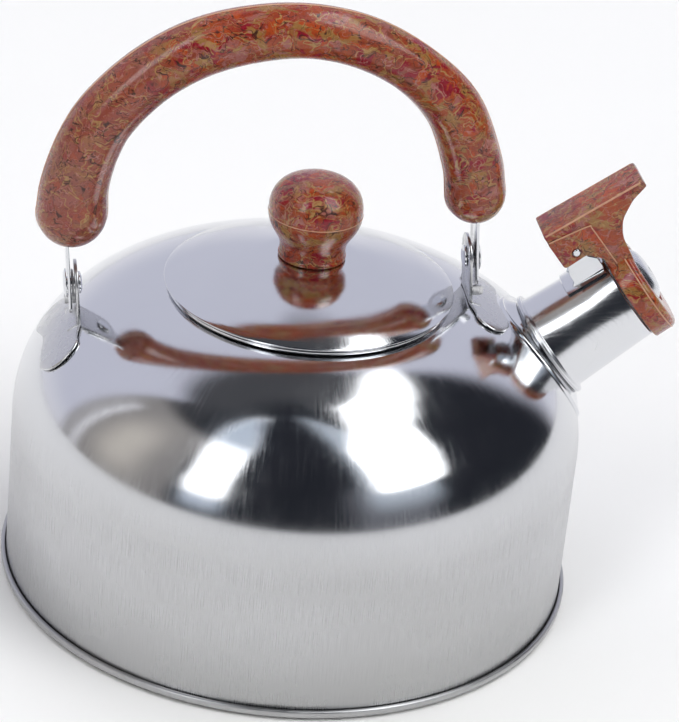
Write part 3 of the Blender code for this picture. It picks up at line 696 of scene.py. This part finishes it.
def make_bracket():
    slope = (TUBE_FOOT_RADIUS - TUBE_MOUTH_RADIUS) / (TUBE_MOUTH_A - TUBE_FOOT_A)
    saddle_from, saddle_to, saddle_half = 17.5, 32.0, 6.6
    rings = []
    for a in (saddle_from, saddle_from + 0.3, saddle_to - 0.3, saddle_to):
        edge = 0.25 if a in (saddle_from, saddle_to) else 0.0
        tube = TUBE_MOUTH_RADIUS + slope * (TUBE_MOUTH_A - a)
        spread = math.asin((saddle_half - edge) / tube)
        outer = [spread - 2 * spread * k / 16 for k in range(17)]
        ring = [(-(tube + 1.0 - edge) * math.cos(w), (tube + 1.0 - edge) * math.sin(w), a) for w in outer]
        ring += [(-(tube + 0.3) * math.cos(w), (tube + 0.3) * math.sin(w), a) for w in outer[::-1]]
        rings.append(ring)
    saddle = bmesh.new()
    add_rings(saddle, rings, cap_start=True, cap_end=True)
    outline = [
        (19.8, 15.6, 1.2),
        (32.3, 15.6, 0.6),
        (32.3, 20.4, 0.8),
        (29.9, 23.1, 0.8),
        (31.4, 25.0, 1.0),
        (31.1, 29.3, 2.6),
        (26.0, 30.6, 2.6),
        (24.4, 26.4, 1.5),
        (21.7, 20.5, 2.5),
        (21.6, 17.4, 1.5),
    ]
    ears = []
    for low, high in ((-5.6, -4.6), (4.6, 5.6)):
        ear = bevelled(extruded(rounded(in_spout(outline), closed=True), low, high), 0.18, 2)
        hole = rod(1.6, -8, 8, 32, "Y", (-PIN_N, 0, PIN_A))
        ears.append(combined(ear, ("DIFFERENCE", hole)))
    work = merged(saddle, *ears)
    finish_mesh("bracket", work, SPOUT_FRAME, "vessel", PRESSED_STEEL, ["cap_bracket"])


def make_pin():
    half, radius = 8.2, 1.3
    profile = [(0, -half, 0), (radius, -half, 0.45), (radius, half, 0.45), (0, half, 0)]
    work = turned(rounded(profile), 40)
    work.transform(Matrix.Translation((-PIN_N, 0, PIN_A)) @ Matrix.Rotation(math.pi / 2, 4, "X"))
    finish_mesh("pin", work, SPOUT_FRAME, "vessel", BRIGHT_STEEL, ["cap_pin"])


def make_spring():
    """A torsion spring round the pin, with one leg to the bracket and one to the lever."""
    coil, turns, per_turn, pitch = 2.25, 6, 32, 1.0
    half = turns * pitch / 2
    route = [(coil, -4.6, -half), (coil, -2.0, -half)]
    for i in range(turns * per_turn + 1):
        angle = 2 * math.pi * i / per_turn
        route.append((coil * math.cos(angle), coil * math.sin(angle), i / per_turn * pitch - half))
    route += [(coil, 2.0, half), (coil, 4.6, half)]
    work = swept(route, 0.3, 12)
    work.transform(Matrix.Translation((-PIN_N, 0, PIN_A)) @ Matrix.Rotation(math.pi / 2, 4, "X"))
    finish_mesh("spring", work, SPOUT_FRAME, "vessel", SATIN_STEEL, ["cap_spring"])


def make_lever():
    """The moulded cap: a disc over the mouth, a web up from it, a thumb slab and two hinge lugs."""
    rim = CAP_RADIUS - 0.15
    disc = [(0, CAP_FACE, 0), (rim, CAP_FACE, 2.2), (rim, CAP_BACK, 0.5), (0, CAP_BACK, 0)]
    web_outline = [
        (22.2, 34.8, 0.6),
        (22.3, 38.3, 0.6),
        (58.6, 35.8, 0.8),
        (58.8, 33.4, 0.8),
        (52.6, 31.7, 9),
        (46.4, 27.9, 9),
        (43.2, 22.6, 12),
        (42.2, 15.6, 12),
        (41.2, 10.0, 0),
        (34.3, 10.0, 0),
        (34.3, 31.2, 1.5),
    ]
    lug_outline = [
        (22.0, 24.5, 1.2),
        (30.4, 24.5, 2.0),
        (34.0, 20.0, 2.0),
        (34.4, 14.5, 0.5),
        (37.0, 14.5, 0.5),
        (37.0, 33.0, 0.5),
        (22.1, 36.0, 1.0),
    ]
    web = extruded(rounded(in_spout(web_outline), closed=True), -7.4, 7.4)
    bevelled(web, 0.9, 4)
    seat = rod(WHISTLE_RADIUS + 0.4, 36.5, 60, 96, centre=(-WHISTLE_N, 0, 0))
    throat = rod(8.0, 20, 60, 96, centre=(-WHISTLE_N, 0, 0))
    steps = [("UNION", web)]
    for low, high in ((-7.9, -5.9), (5.9, 7.9)):
        lug = bevelled(extruded(rounded(in_spout(lug_outline), closed=True), low, high), 0.35)
        steps.append(("UNION", lug))
    steps += [("DIFFERENCE", rod(1.6, -12, 12, 40, "Y", (-PIN_N, 0, PIN_A)))]
    steps += [("DIFFERENCE", seat), ("DIFFERENCE", throat)]
    disc_solid = turned(rounded(disc, steps=8), 128)
    bmesh.ops.recalc_face_normals(disc_solid, faces=disc_solid.faces)
    work = combined(disc_solid, *steps)
    finish_mesh("lever", work, SPOUT_FRAME, "whistle_cap", MARBLED, ["cap_lever"], 30)

    # Pale lines round the disc's rim and along the slab's and lugs' edges: moulding flash, and partly a
    # painted highlight for the glints on those edges
    seam_glint_lines = turned(arc(rim - 0.1, CAP_FACE - 2.0, 0.25, 0, 330, 11), 128, closed=True)
    slab_edge = [(22.9, 37.85), (40.0, 36.7), (57.6, 35.5)]
    lug_edge = [(22.6, 35.6), (29.0, 34.5), (36.2, 33.0), (36.7, 31.5), (36.75, 22.0), (36.75, 16.0)]
    for near in (-1, 1):
        for edge, y, thickness in ((slab_edge, 7.0, 0.4), (lug_edge, 7.75, 0.25)):
            route = [(-n, near * y, a) for a, n in edge]
            seam_glint_lines = merged(seam_glint_lines, swept(catmull(route, 6), thickness, 10))
    finish_mesh("lever_seam_glints", seam_glint_lines, SPOUT_FRAME, "whistle_cap", SEAM_AND_GLINT, [], 60)


def make_whistle():
    hole, wall, plate_back, front, rim = 1.2, 0.6, 36.8, 43.7, 37.7
    plate = [
        (hole, plate_back, 0.1),
        (hole, plate_back + wall, 0.1),
        (WHISTLE_RADIUS, plate_back + wall, 0.15),
        (WHISTLE_RADIUS, plate_back, 0.15),
    ]
    place, slot = SPOUT_FRAME @ Matrix.Translation((-WHISTLE_N, 0, 0)), "polished_steel"
    work = turned(rounded(plate, closed=True), SMALL_TURN_STEPS, closed=True)
    finish_mesh("whistle_disc", work, place, "whistle_cap", BRIGHT_STEEL, ["whistle_plate"])
    drops = ((hole, 0), (4.0, 0.15), (7.0, 0.8), (9.2, 2.2), (WHISTLE_RADIUS, 3.8))
    outer = catmull([(radius, front - drop) for radius, drop in drops], 5)
    outer = [tuple(point) for point in outer] + [(WHISTLE_RADIUS, rim)]
    inner = [(radius - wall * 0.6 if radius > 3 else radius, a - wall) for radius, a in outer[:-1]]
    inner = [(min(radius, WHISTLE_RADIUS - wall), a) for radius, a in inner]
    inner.append((WHISTLE_RADIUS - wall, rim))
    work = turned(outer + inner[::-1], SMALL_TURN_STEPS, closed=True)
    finish_mesh("whistle_front", work, place, "whistle_cap", WHISTLE_STEEL, ["whistle_dome"])


# The handle and the lugs it swings on


def pad_outline(fold_x, outward, reach):
    half = [
        (-0.5, 7.5),
        (0.6, 12.0),
        (0.8, 15.5),
        (2.8, 18.3),
        (5.8, 19.5),
        (9.3, 18.0),
        (11.7, 14.0),
        (12.0, 11.0),
        (11.3, 6.0),
        (10.5, 0.0),
    ]
    near = [(w, -y) for w, y in half[-2::-1]]
    smooth = catmull(half + near, 6)
    return [(fold_x + outward * w * reach, y) for w, y in smooth]


def above_dome(x, y, distance):
    """The point over (x, y) on the dome, moved out along the dome's normal."""
    radius, step = math.hypot(x, y), 0.05
    slope = (vessel_height(radius + step) - vessel_height(radius - step)) / (2 * step)
    lift = distance / math.hypot(1, slope)
    share = (radius - slope * lift) / radius
    return Vector((x * share, y * share, vessel_height(radius) + lift))


def make_pad(outline):
    """A sheet following the dome inside an outline, with rounded edges."""
    count = len(outline)
    middle = Vector((sum(x for x, _ in outline) / count, sum(y for _, y in outline) / count))
    rim = [Vector(p) - middle for p in outline]
    layers = [(share, 1.1) for share in (0.12, 0.3, 0.5, 0.7, 0.86)]
    layers += [(0.97, 1.08), (0.99, 0.98), (1.0, 0.8), (1.0, 0.5), (0.985, 0.3), (0.5, 0.3)]
    rings = []
    for share, height in layers:
        rings.append([above_dome(*(middle + share * arm), height) for arm in rim])
    work = bmesh.new()
    add_rings(work, rings, cap_start=True, cap_end=True)
    return work


def make_lug(side, outward, fold_x, reach):
    """A sheet lug: a pad lying on the dome, folded up into a plate with the rivet and a stop tab."""
    middle = outward * (PIVOT_HALF_SPAN - PLATE_OFFSET)
    low, high = middle - PLATE / 2, middle + PLATE / 2
    half = 7.5
    outline = [(-half, -12.8), (half, -12.8)] + arc(0, 0, half, 0, 180, 32)
    plate = bevelled(extruded(outline, low, high, "YZ"), 0.16, 2)
    tab_from, tab_to = sorted((middle, middle + outward * (PLATE / 2 + 3.4)))
    tab_low, tab_high = sorted((-outward * 6.4, -outward * half))
    foot, top, tip = -10.8, -7.5, 0.9
    tab = [(tab_from, foot, 0.1), (tab_to, foot, tip), (tab_to, top, tip), (tab_from, top, 0.1)]
    tab = bevelled(extruded(rounded(tab, closed=True), tab_low, tab_high), 0.15, 2)
    work = merged(plate, tab)
    work.transform(PIVOT_FRAME)

    top = PIVOT_FRAME @ Vector((middle, 0, -12.4))
    below = PIVOT_FRAME @ Vector((middle, 0, -19))
    edge = above_dome(fold_x + outward * 3.2, 0, 0.7)
    inner = above_dome(fold_x + outward * 0.6, 0, 0.7)
    run = (inner - edge).normalized()
    drop = (below - top).normalized()
    across = Vector((0, 1, 0))
    share = (inner - top).cross(run).dot(across) / drop.cross(run).dot(across)
    corner = top + drop * share
    bend = []
    for i in range(13):
        t = i / 12
        here = (1 - t) ** 3 * top + 3 * (1 - t) ** 2 * t * corner
        here = here + 3 * (1 - t) * t * t * corner + t**3 * edge
        bend.append((here.x, here.z))
    outline = offset_line(bend, 0.5) + offset_line(bend, -0.5)[::-1]
    work = merged(work, bevelled(extruded(outline, -half, half), 0.15, 2, 70))
    work = merged(work, make_pad(pad_outline(fold_x, outward, reach)))
    name = "lug_" + side
    finish_mesh(name, work, WORLD_FRAME, "vessel", LUG_STEEL, ["handle_lug_" + side])


def make_strap(side, outward):
    middle = outward * (PIVOT_HALF_SPAN + PLATE_OFFSET)
    half, tail, top, corner = 5.5, -9.2, 29.0, 3.0
    corners = [(-half, tail, corner), (half, tail, corner), (half, top, 0.3), (-half, top, 0.3)]
    outline = rounded(corners, closed=True, steps=8)
    work = bevelled(extruded(outline, middle - PLATE / 2, middle + PLATE / 2, "YZ"), 0.18, 2)
    name, node = "strap_" + side, "handle_strap_" + side
    finish_mesh(name, work, PIVOT_FRAME, "handle", PRESSED_STEEL, [node])


def make_rivet(side, outward):
    """A rivet with a low head and a raised ring outside, a clinched end inside, and its washer."""
    head = PLATE_OFFSET + PLATE / 2 + 0.3
    profile = [
        (0, head + 0.75, 0),
        (2.2, head + 0.8, 0.4),
        (3.1, head + 1.0, 0.4),
        (3.8, head + 0.8, 0.4),
        (4.8, head + 0.35, 0.2),
        (4.8, head, 0.1),
        (2.1, head, 0),
        (2.1, -head, 0),
        (3.6, -head, 0.1),
        (3.6, -head - 0.5, 0.4),
        (2.4, -head - 1.0, 0.5),
        (0, -head - 1.0, 0),
    ]
    facing = Matrix.Rotation(outward * math.pi / 2, 4, "Y")
    facing = Matrix.Translation((outward * PIVOT_HALF_SPAN, 0, 0)) @ facing
    work = turned(rounded(profile), 48)
    name, node = "rivet_" + side, "handle_rivet_" + side
    finish_mesh(name, work, PIVOT_FRAME @ facing, "handle", BRIGHT_STEEL, [node])
    ring = [(2.4, 0.3, 0.1), (4.4, 0.3, 0.15), (4.4, -0.3, 0.15), (2.4, -0.3, 0.1)]
    work = turned(rounded(ring, closed=True), 48, closed=True)
    name, node = "washer_" + side, "handle_washer_" + side
    finish_mesh(name, work, PIVOT_FRAME @ facing, "handle", SATIN_STEEL, [node])


GRIP_ROUTE = (
    (-77.4, 128.0, 11.5),
    (-76.8, 138.0, 10.9),
    (-73.3, 151.0, 10.4),
    (-67.3, 162.5, 9.95),
    (-55.4, 175.2, 9.6),
    (-40.8, 184.5, 9.5),
    (-24.1, 189.7, 9.2),
    (-6.5, 191.2, 8.8),
    (11.0, 187.9, 8.7),
    (27.4, 179.5, 8.6),
    (40.6, 166.9, 9.2),
    (48.3, 149.5, 9.7),
    (50.8, 137.9, 10.1),
)


def make_grip():
    """The moulded bow, swelling towards its ends, with the fine ridge of its parting line."""
    route = catmull(GRIP_ROUTE, 9)
    start_run = (route[0] - route[1]).xy.normalized()
    end_run = (route[-1] - route[-2]).xy.normalized()
    sections = []
    ball = [math.radians(89.5 - 89.5 * i / 14) for i in range(14)]
    for angle in ball:
        reach, radius = route[0].z * math.sin(angle), route[0].z * math.cos(angle)
        sections.append(((route[0].xy + start_run * reach), -start_run, radius))
    for before, here, after in zip([route[0]] + route, route, route[1:] + [route[-1]]):
        sections.append((here.xy, (after - before).xy.normalized(), here.z))
    for angle in ball[::-1]:
        reach, radius = route[-1].z * math.sin(angle), route[-1].z * math.cos(angle)
        sections.append(((route[-1].xy + end_run * reach), end_run, radius))

    ridge = ((0.0, 0.22), (0.22, 0.18), (0.42, 0.05), (0.75, 0.0))
    inset = 0.26  # keeps the ridge inside the CAD's grip
    rings = []
    for centre, run, radius in sections:
        out = Vector((-run.y, run.x))
        fade = min(1, radius / 6)
        quarter = [(w / max(radius, 1), height * fade) for w, height in ridge]
        quarter += [(0.16 + (math.pi - 0.32) * k / 22, 0.0) for k in range(23)]
        quarter += [(math.pi - w / max(radius, 1), height * fade) for w, height in ridge[::-1]]
        whole = quarter + [(2 * math.pi - w, height) for w, height in quarter[-2:0:-1]]
        ring = []
        for w, height in whole:
            reach = max(radius + height - inset, 0.05)
            flat = centre + out * reach * math.cos(w)
            ring.append((flat.x, reach * math.sin(w), flat.y))
        rings.append(ring)
    work = bmesh.new()
    add_rings(work, rings, cap_start=True, cap_end=True)
    finish_mesh(
        "grip", work, WORLD_FRAME, "handle", MARBLED, ["handle_grip"], 60,
        seam=lambda middle: abs(middle.y) < 0.33,
    )


# The lid and its knob


def make_lid():
    """A shallow dome of sheet, flat under the knob and turned down at the rim."""
    crown = [
        (10.8, BOSS_TOP),
        (13.0, 114.2),
        (16.0, 113.8),
        (20.0, 112.95),
        (24.0, 112.0),
        (30.0, 110.45),
        (36.0, 108.75),
        (40.0, 107.5),
        (44.0, 106.05),
        (45.5, 105.45),
        (46.4, 105.05),
    ]
    crown = [tuple(point) for point in catmull(crown, 6)]
    rim = rounded([(46.4, 105.05, 0), (46.8, 104.85, 0.3), (46.8, 104.25, 0.25), (46.15, 104.25, 0.1)])[1:]
    inner = offset_line(crown, SHEET)[::-1][1:]
    profile = [(2.2, BOSS_TOP)] + crown + rim + inner + [(2.2, BOSS_TOP - SHEET)]
    work = turned(profile, closed=True)
    finish_mesh("lid", work, WORLD_FRAME, "lid", LID_STEEL, ["lid_cover"], 50)
    top = 104.5
    skirt = [
        (38.0, top, 0.2),
        (44.5, top, 1.0),
        (44.5, 97.0, 0.5),
        (43.4, 97.0, 0.3),
        (43.8, 97.8, 0.3),
        (43.8, top - SHEET, 0.5),
        (38.0, top - SHEET, 0.2),
    ]
    work = turned(rounded(skirt, closed=True), closed=True)
    finish_mesh("skirt", work, WORLD_FRAME, "lid", PRESSED_STEEL, ["lid_skirt"])


def make_knob():
    foot = BOSS_TOP + 0.3
    outer = [
        (0.01, 142.0),
        (5.0, 141.75),
        (9.2, 140.6),
        (12.2, 138.6),
        (14.1, 136.0),
        (15.0, 133.0),
        (15.15, 130.3),
    ]
    lower = [
        (15.15, 129.6),
        (14.9, 127.7),
        (13.95, 125.2),
        (12.45, 122.7),
        (11.3, 120.7),
        (10.75, 119.0),
        (10.65, 117.4),
        (10.7, 116.2),
    ]
    profile = [tuple(point) for point in catmull(outer, 5)]
    profile += [(15.22, 130.12), (15.3, 129.95), (15.22, 129.78)]
    profile += [tuple(point) for point in catmull(lower, 5)]
    profile += rounded([(10.7, 116.0, 0), (10.95, 115.7, 0.3), (10.95, foot, 0.35), (3.6, foot, 0)])
    profile += [(3.6, 124.5), (0.01, 124.5)]
    work = turned(profile, 128)
    bmesh.ops.holes_fill(work, edges=work.edges, sides=0)
    finish_mesh(
        "knob", work, WORLD_FRAME, "lid", MARBLED, ["lid_knob"],
        seam=lambda middle: 129.75 < middle.z < 130.15 and middle.xy.length > 15,
    )


def make_knob_fixing():
    top, bottom, under = 124.2, BOSS_TOP + 0.6, BOSS_TOP - 1.0
    insert = [(2.0, top, 0.2), (3.3, top, 0.3), (3.3, bottom, 0.2), (2.0, bottom, 0.2)]
    work = turned(rounded(insert, closed=True), 40, closed=True)
    finish_mesh("insert", work, WORLD_FRAME, "lid", BRASS, ["knob_insert"])
    washer = [(2.0, under, 0.1), (6.0, under, 0.15), (6.0, under - 0.6, 0.15), (2.0, under - 0.6, 0.1)]
    work = turned(rounded(washer, closed=True), 48, closed=True)
    finish_mesh("washer", work, WORLD_FRAME, "lid", SATIN_STEEL, ["knob_washer"])
    screw = [
        (0, 121.0, 0),
        (1.3, 121.0, 0.2),
        (1.7, 120.5, 0.2),
        (1.7, under - 0.9, 0.1),
        (4.0, under - 0.9, 0.2),
        (4.0, under - 1.7, 0.2),
        (3.0, under - 2.8, 0.8),
        (0, under - 3.1, 0),
    ]
    head = turned(rounded(screw), 48)
    bmesh.ops.recalc_face_normals(head, faces=head.faces)
    slot_foot, slot_top = under - 3.6, under - 2.2
    slot = extruded([(-0.5, slot_foot), (0.5, slot_foot), (0.5, slot_top), (-0.5, slot_top)], -5, 5)
    work = combined(head, ("DIFFERENCE", slot))
    finish_mesh("screw", work, WORLD_FRAME, "lid", SATIN_STEEL, ["knob_screw"])


# The camera, the light and the stage


def make_camera():
    turn, pitch, roll = CAMERA_TURN, CAMERA_PITCH, CAMERA_ROLL
    back = Vector((math.sin(turn) * math.cos(pitch), -math.cos(turn) * math.cos(pitch), math.sin(pitch)))
    right = Vector((math.cos(turn), math.sin(turn), 0))
    up = back.cross(right)
    aim = right * CAMERA_AIM_ACROSS + Vector((0, 0, CAMERA_AIM_HEIGHT))
    place = (aim + back * CAMERA_DISTANCE) * MM
    leaning_right = right * math.cos(roll) + up * math.sin(roll)
    leaning_up = up * math.cos(roll) - right * math.sin(roll)
    data = bpy.data.cameras.new("camera")
    data.lens = CAMERA_LENS
    data.clip_end = 20
    camera = new_object("camera", data)
    rotation = Matrix((leaning_right, leaning_up, back)).transposed().to_4x4()
    camera.matrix_world = Matrix.Translation(place) @ rotation
    bpy.context.scene.camera = camera


DARK_ROOM = (0.019, 0.021, 0.028, 1)
GREY_CEILING = (0.07, 0.072, 0.08, 1)
BACKDROP = (0.64, 0.65, 0.76, 1)
BACKDROP_FOOT = (0.82, 0.82, 0.89, 1)
BACKDROP_EDGE = (0.95, 0.95, 1.0, 1)
BEIGE_CLOTH = (0.30, 0.285, 0.28, 1)
BEIGE_GLOW = (0.62, 0.58, 0.53, 1)
CLOTH_FOLD = (0.42, 0.41, 0.42, 1)
SOFTBOX = (4.0, 4.05, 4.1, 1)
SOFTBOX_LOW = (0.62, 0.70, 0.82, 1)
SOFTBOX_GLOW = (0.17, 0.175, 0.20, 1)
SOFTBOX_SPILL = (0.52, 0.58, 0.66, 1)
TABLE = (0.80, 0.80, 0.81, 1)

# The floor and the lamp, in metres and watts
FLOOR_HALF, FLOOR_GAP = 4.0, 0.0002
LAMP_SIZE, LAMP_ENERGY = 2.4, 11
LAMP_PLACE = (0, -0.2, 1.7)


class WorldNodes(Nodes):
    """The studio round the kettle, as patches of light by direction."""

    def __init__(self):
        self.world = bpy.data.worlds.new("studio")
        bpy.context.scene.world = self.world
        self.world.use_nodes = True
        self.tree = self.world.node_tree
        direction = self.parts(self.add("ShaderNodeTexCoord", {}, "Generated"))
        front = self.math("MULTIPLY", direction[1], -1.0)
        self.turn = self.math("DEGREES", self.math("ARCTAN2", direction[0], front))
        self.lift = self.math("DEGREES", self.math("ARCSINE", direction[2]))

    def band(self, value, low, high, soft):
        """One between two angles, fading over a soft edge on either side."""
        rise = self.steps(value, low - soft, low + soft)
        fall = self.steps(value, high - soft, high + soft, 1.0, 0.0)
        return self.math("MULTIPLY", rise, fall)

    def patch(self, turn_from, turn_to, lift_from, lift_to, soft_turn, soft_lift):
        across = self.band(self.turn, turn_from, turn_to, soft_turn)
        return self.math("MULTIPLY", across, self.band(self.lift, lift_from, lift_to, soft_lift))


def make_world():
    """White cloths behind and beside, a dark room in front, and two long softboxes bent overhead."""
    net = WorldNodes()
    turn, lift = net.turn, net.lift

    def over(value, start, power, gain):
        """How far a value is past a start, raised to a power."""
        excess = net.math("MAXIMUM", net.math("SUBTRACT", value, start), 0.0)
        return net.math("MULTIPLY", net.math("POWER", excess, power), gain)

    def past(value, edge, soft):
        return net.steps(net.math("SUBTRACT", value, edge), -soft, soft)

    def all_of(*shares):
        product = shares[0]
        for share in shares[1:]:
            product = net.math("MULTIPLY", product, share)
        return product

    side = net.math("ABSOLUTE", turn)
    ceiling = all_of(net.steps(side, 60.0, 120.0), net.steps(lift, 56.0, 62.0), net.steps(lift, 86.0, 76.0))
    light = net.mix(ceiling, DARK_ROOM, GREY_CEILING)
    backdrop = net.mix(net.steps(lift, 16.0, -3.0), BACKDROP, BACKDROP_FOOT)
    right_edge = net.math("ADD", 118.0, over(lift, 20.0, 2.0, 0.02))
    light = net.mix(all_of(past(turn, right_edge, 6.0), net.steps(lift, 64.0, 56.0)), light, backdrop)
    light = net.mix(all_of(net.steps(turn, -106.0, -114.0), net.steps(lift, 66.0, 58.0)), light, backdrop)
    light = net.mix(net.patch(-112, -58, -10, 57, 3, 4), light, BEIGE_CLOTH)
    light = net.mix(net.patch(-112, -106, -4, 48, 2, 4), light, CLOTH_FOLD)
    light = net.mix(net.patch(-94, -74, 5, 45, 9, 14), light, BEIGE_GLOW)
    light = net.mix(net.patch(-105.5, -102.5, -4, 46, 1, 4), light, BACKDROP_EDGE)

    from_left = net.math("SUBTRACT", -52.0, over(lift, 30.0, 2.0, 0.011))
    to_right = net.math("SUBTRACT", -36.0, over(lift, 58.0, 3.0, 0.0028))
    strip = all_of(past(turn, from_left, 2.5), past(to_right, turn, 2.0), net.steps(lift, 84.0, 78.0))
    light = net.mix(all_of(strip, net.steps(lift, -2.0, 12.0)), light, SOFTBOX_LOW)
    light = net.mix(all_of(strip, net.steps(lift, 12.0, 24.0)), light, SOFTBOX)
    light = net.mix(all_of(strip, net.steps(lift, 46.0, 64.0)), light, SOFTBOX_LOW)

    curve_down = over(net.math("SUBTRACT", 0.0, turn), -88.0, 1.68, 0.113)
    low_edge = net.math("MAXIMUM", net.math("SUBTRACT", 62.0, curve_down), 30.0)
    low_edge = net.math("SUBTRACT", low_edge, over(turn, 110.0, 1.0, 0.18))
    high_edge = net.math("SUBTRACT", 78.0, over(turn, 120.0, 1.0, 0.6))
    from_left = net.math("ADD", 30.0, over(lift, 56.0, 3.0, 0.005))
    glow = all_of(past(turn, 17.0, 8.0), net.steps(turn, 54.0, 44.0))
    glow = all_of(glow, net.steps(lift, -8.0, 2.0), net.steps(lift, 42.0, 26.0))
    light = net.mix(glow, light, SOFTBOX_GLOW)
    spill = all_of(past(turn, 24.0, 5.0), net.steps(turn, 58.0, 50.0), net.steps(lift, 8.0, 27.0))
    light = net.mix(spill, light, SOFTBOX_SPILL)
    box = all_of(past(turn, from_left, 3.0), net.steps(turn, 152.0, 144.0))
    box = all_of(box, past(lift, low_edge, 2.5), past(high_edge, lift, 2.0))
    light = net.mix(box, light, SOFTBOX)

    light = net.mix(net.steps(lift, -3.0, -7.0), light, TABLE)
    seen = net.add("ShaderNodeLightPath", {}, "Is Camera Ray")
    light = net.mix(seen, light, (1.0, 1.0, 1.0, 1))
    background = net.tree.nodes["Background"]
    net.tree.links.new(light, background.inputs["Color"])
    background.inputs["Strength"].default_value = 1.0


def make_stage():
    work = bmesh.new()
    bmesh.ops.create_grid(work, x_segments=1, y_segments=1, size=FLOOR_HALF)
    mesh = new_mesh("floor", work)
    net = Nodes("floor_card")
    cloud = net.noise(net.scaled(net.place(), (6, 6, 6)), 1.0, 2)
    colour = net.mix(cloud, (0.95, 0.94, 0.92, 1), (0.97, 0.96, 0.94, 1))
    mesh.materials.append(net.set(Base_Color=colour, Roughness=0.8))
    floor = new_object("floor", mesh)
    floor.location.z = -FLOOR_GAP


def make_lights():
    """A broad overhead light that brightens the floor and the mouldings but isn't mirrored."""
    data = bpy.data.lights.new("overhead", "AREA")
    data.shape = "RECTANGLE"
    data.size = data.size_y = LAMP_SIZE
    data.energy = LAMP_ENERGY
    lamp = new_object("overhead", data)
    lamp.location = LAMP_PLACE
    lamp.visible_glossy = False
    lamp.visible_camera = False


make_camera()
make_world()
make_stage()
make_lights()
bpy.context.scene.view_settings.view_transform = "Standard"

make_shell()
make_neck()
make_base()
make_spout()
make_bracket()
make_pin()
make_spring()
make_lever()
make_whistle()
make_lug("left", -1, -73.6, 0.97)
make_lug("right", 1, 52.1, 0.99)
for side_name, side_sign in (("left", -1), ("right", 1)):
    make_strap(side_name, side_sign)
    make_rivet(side_name, side_sign)
make_grip()
make_lid()
make_knob()
make_knob_fixing()
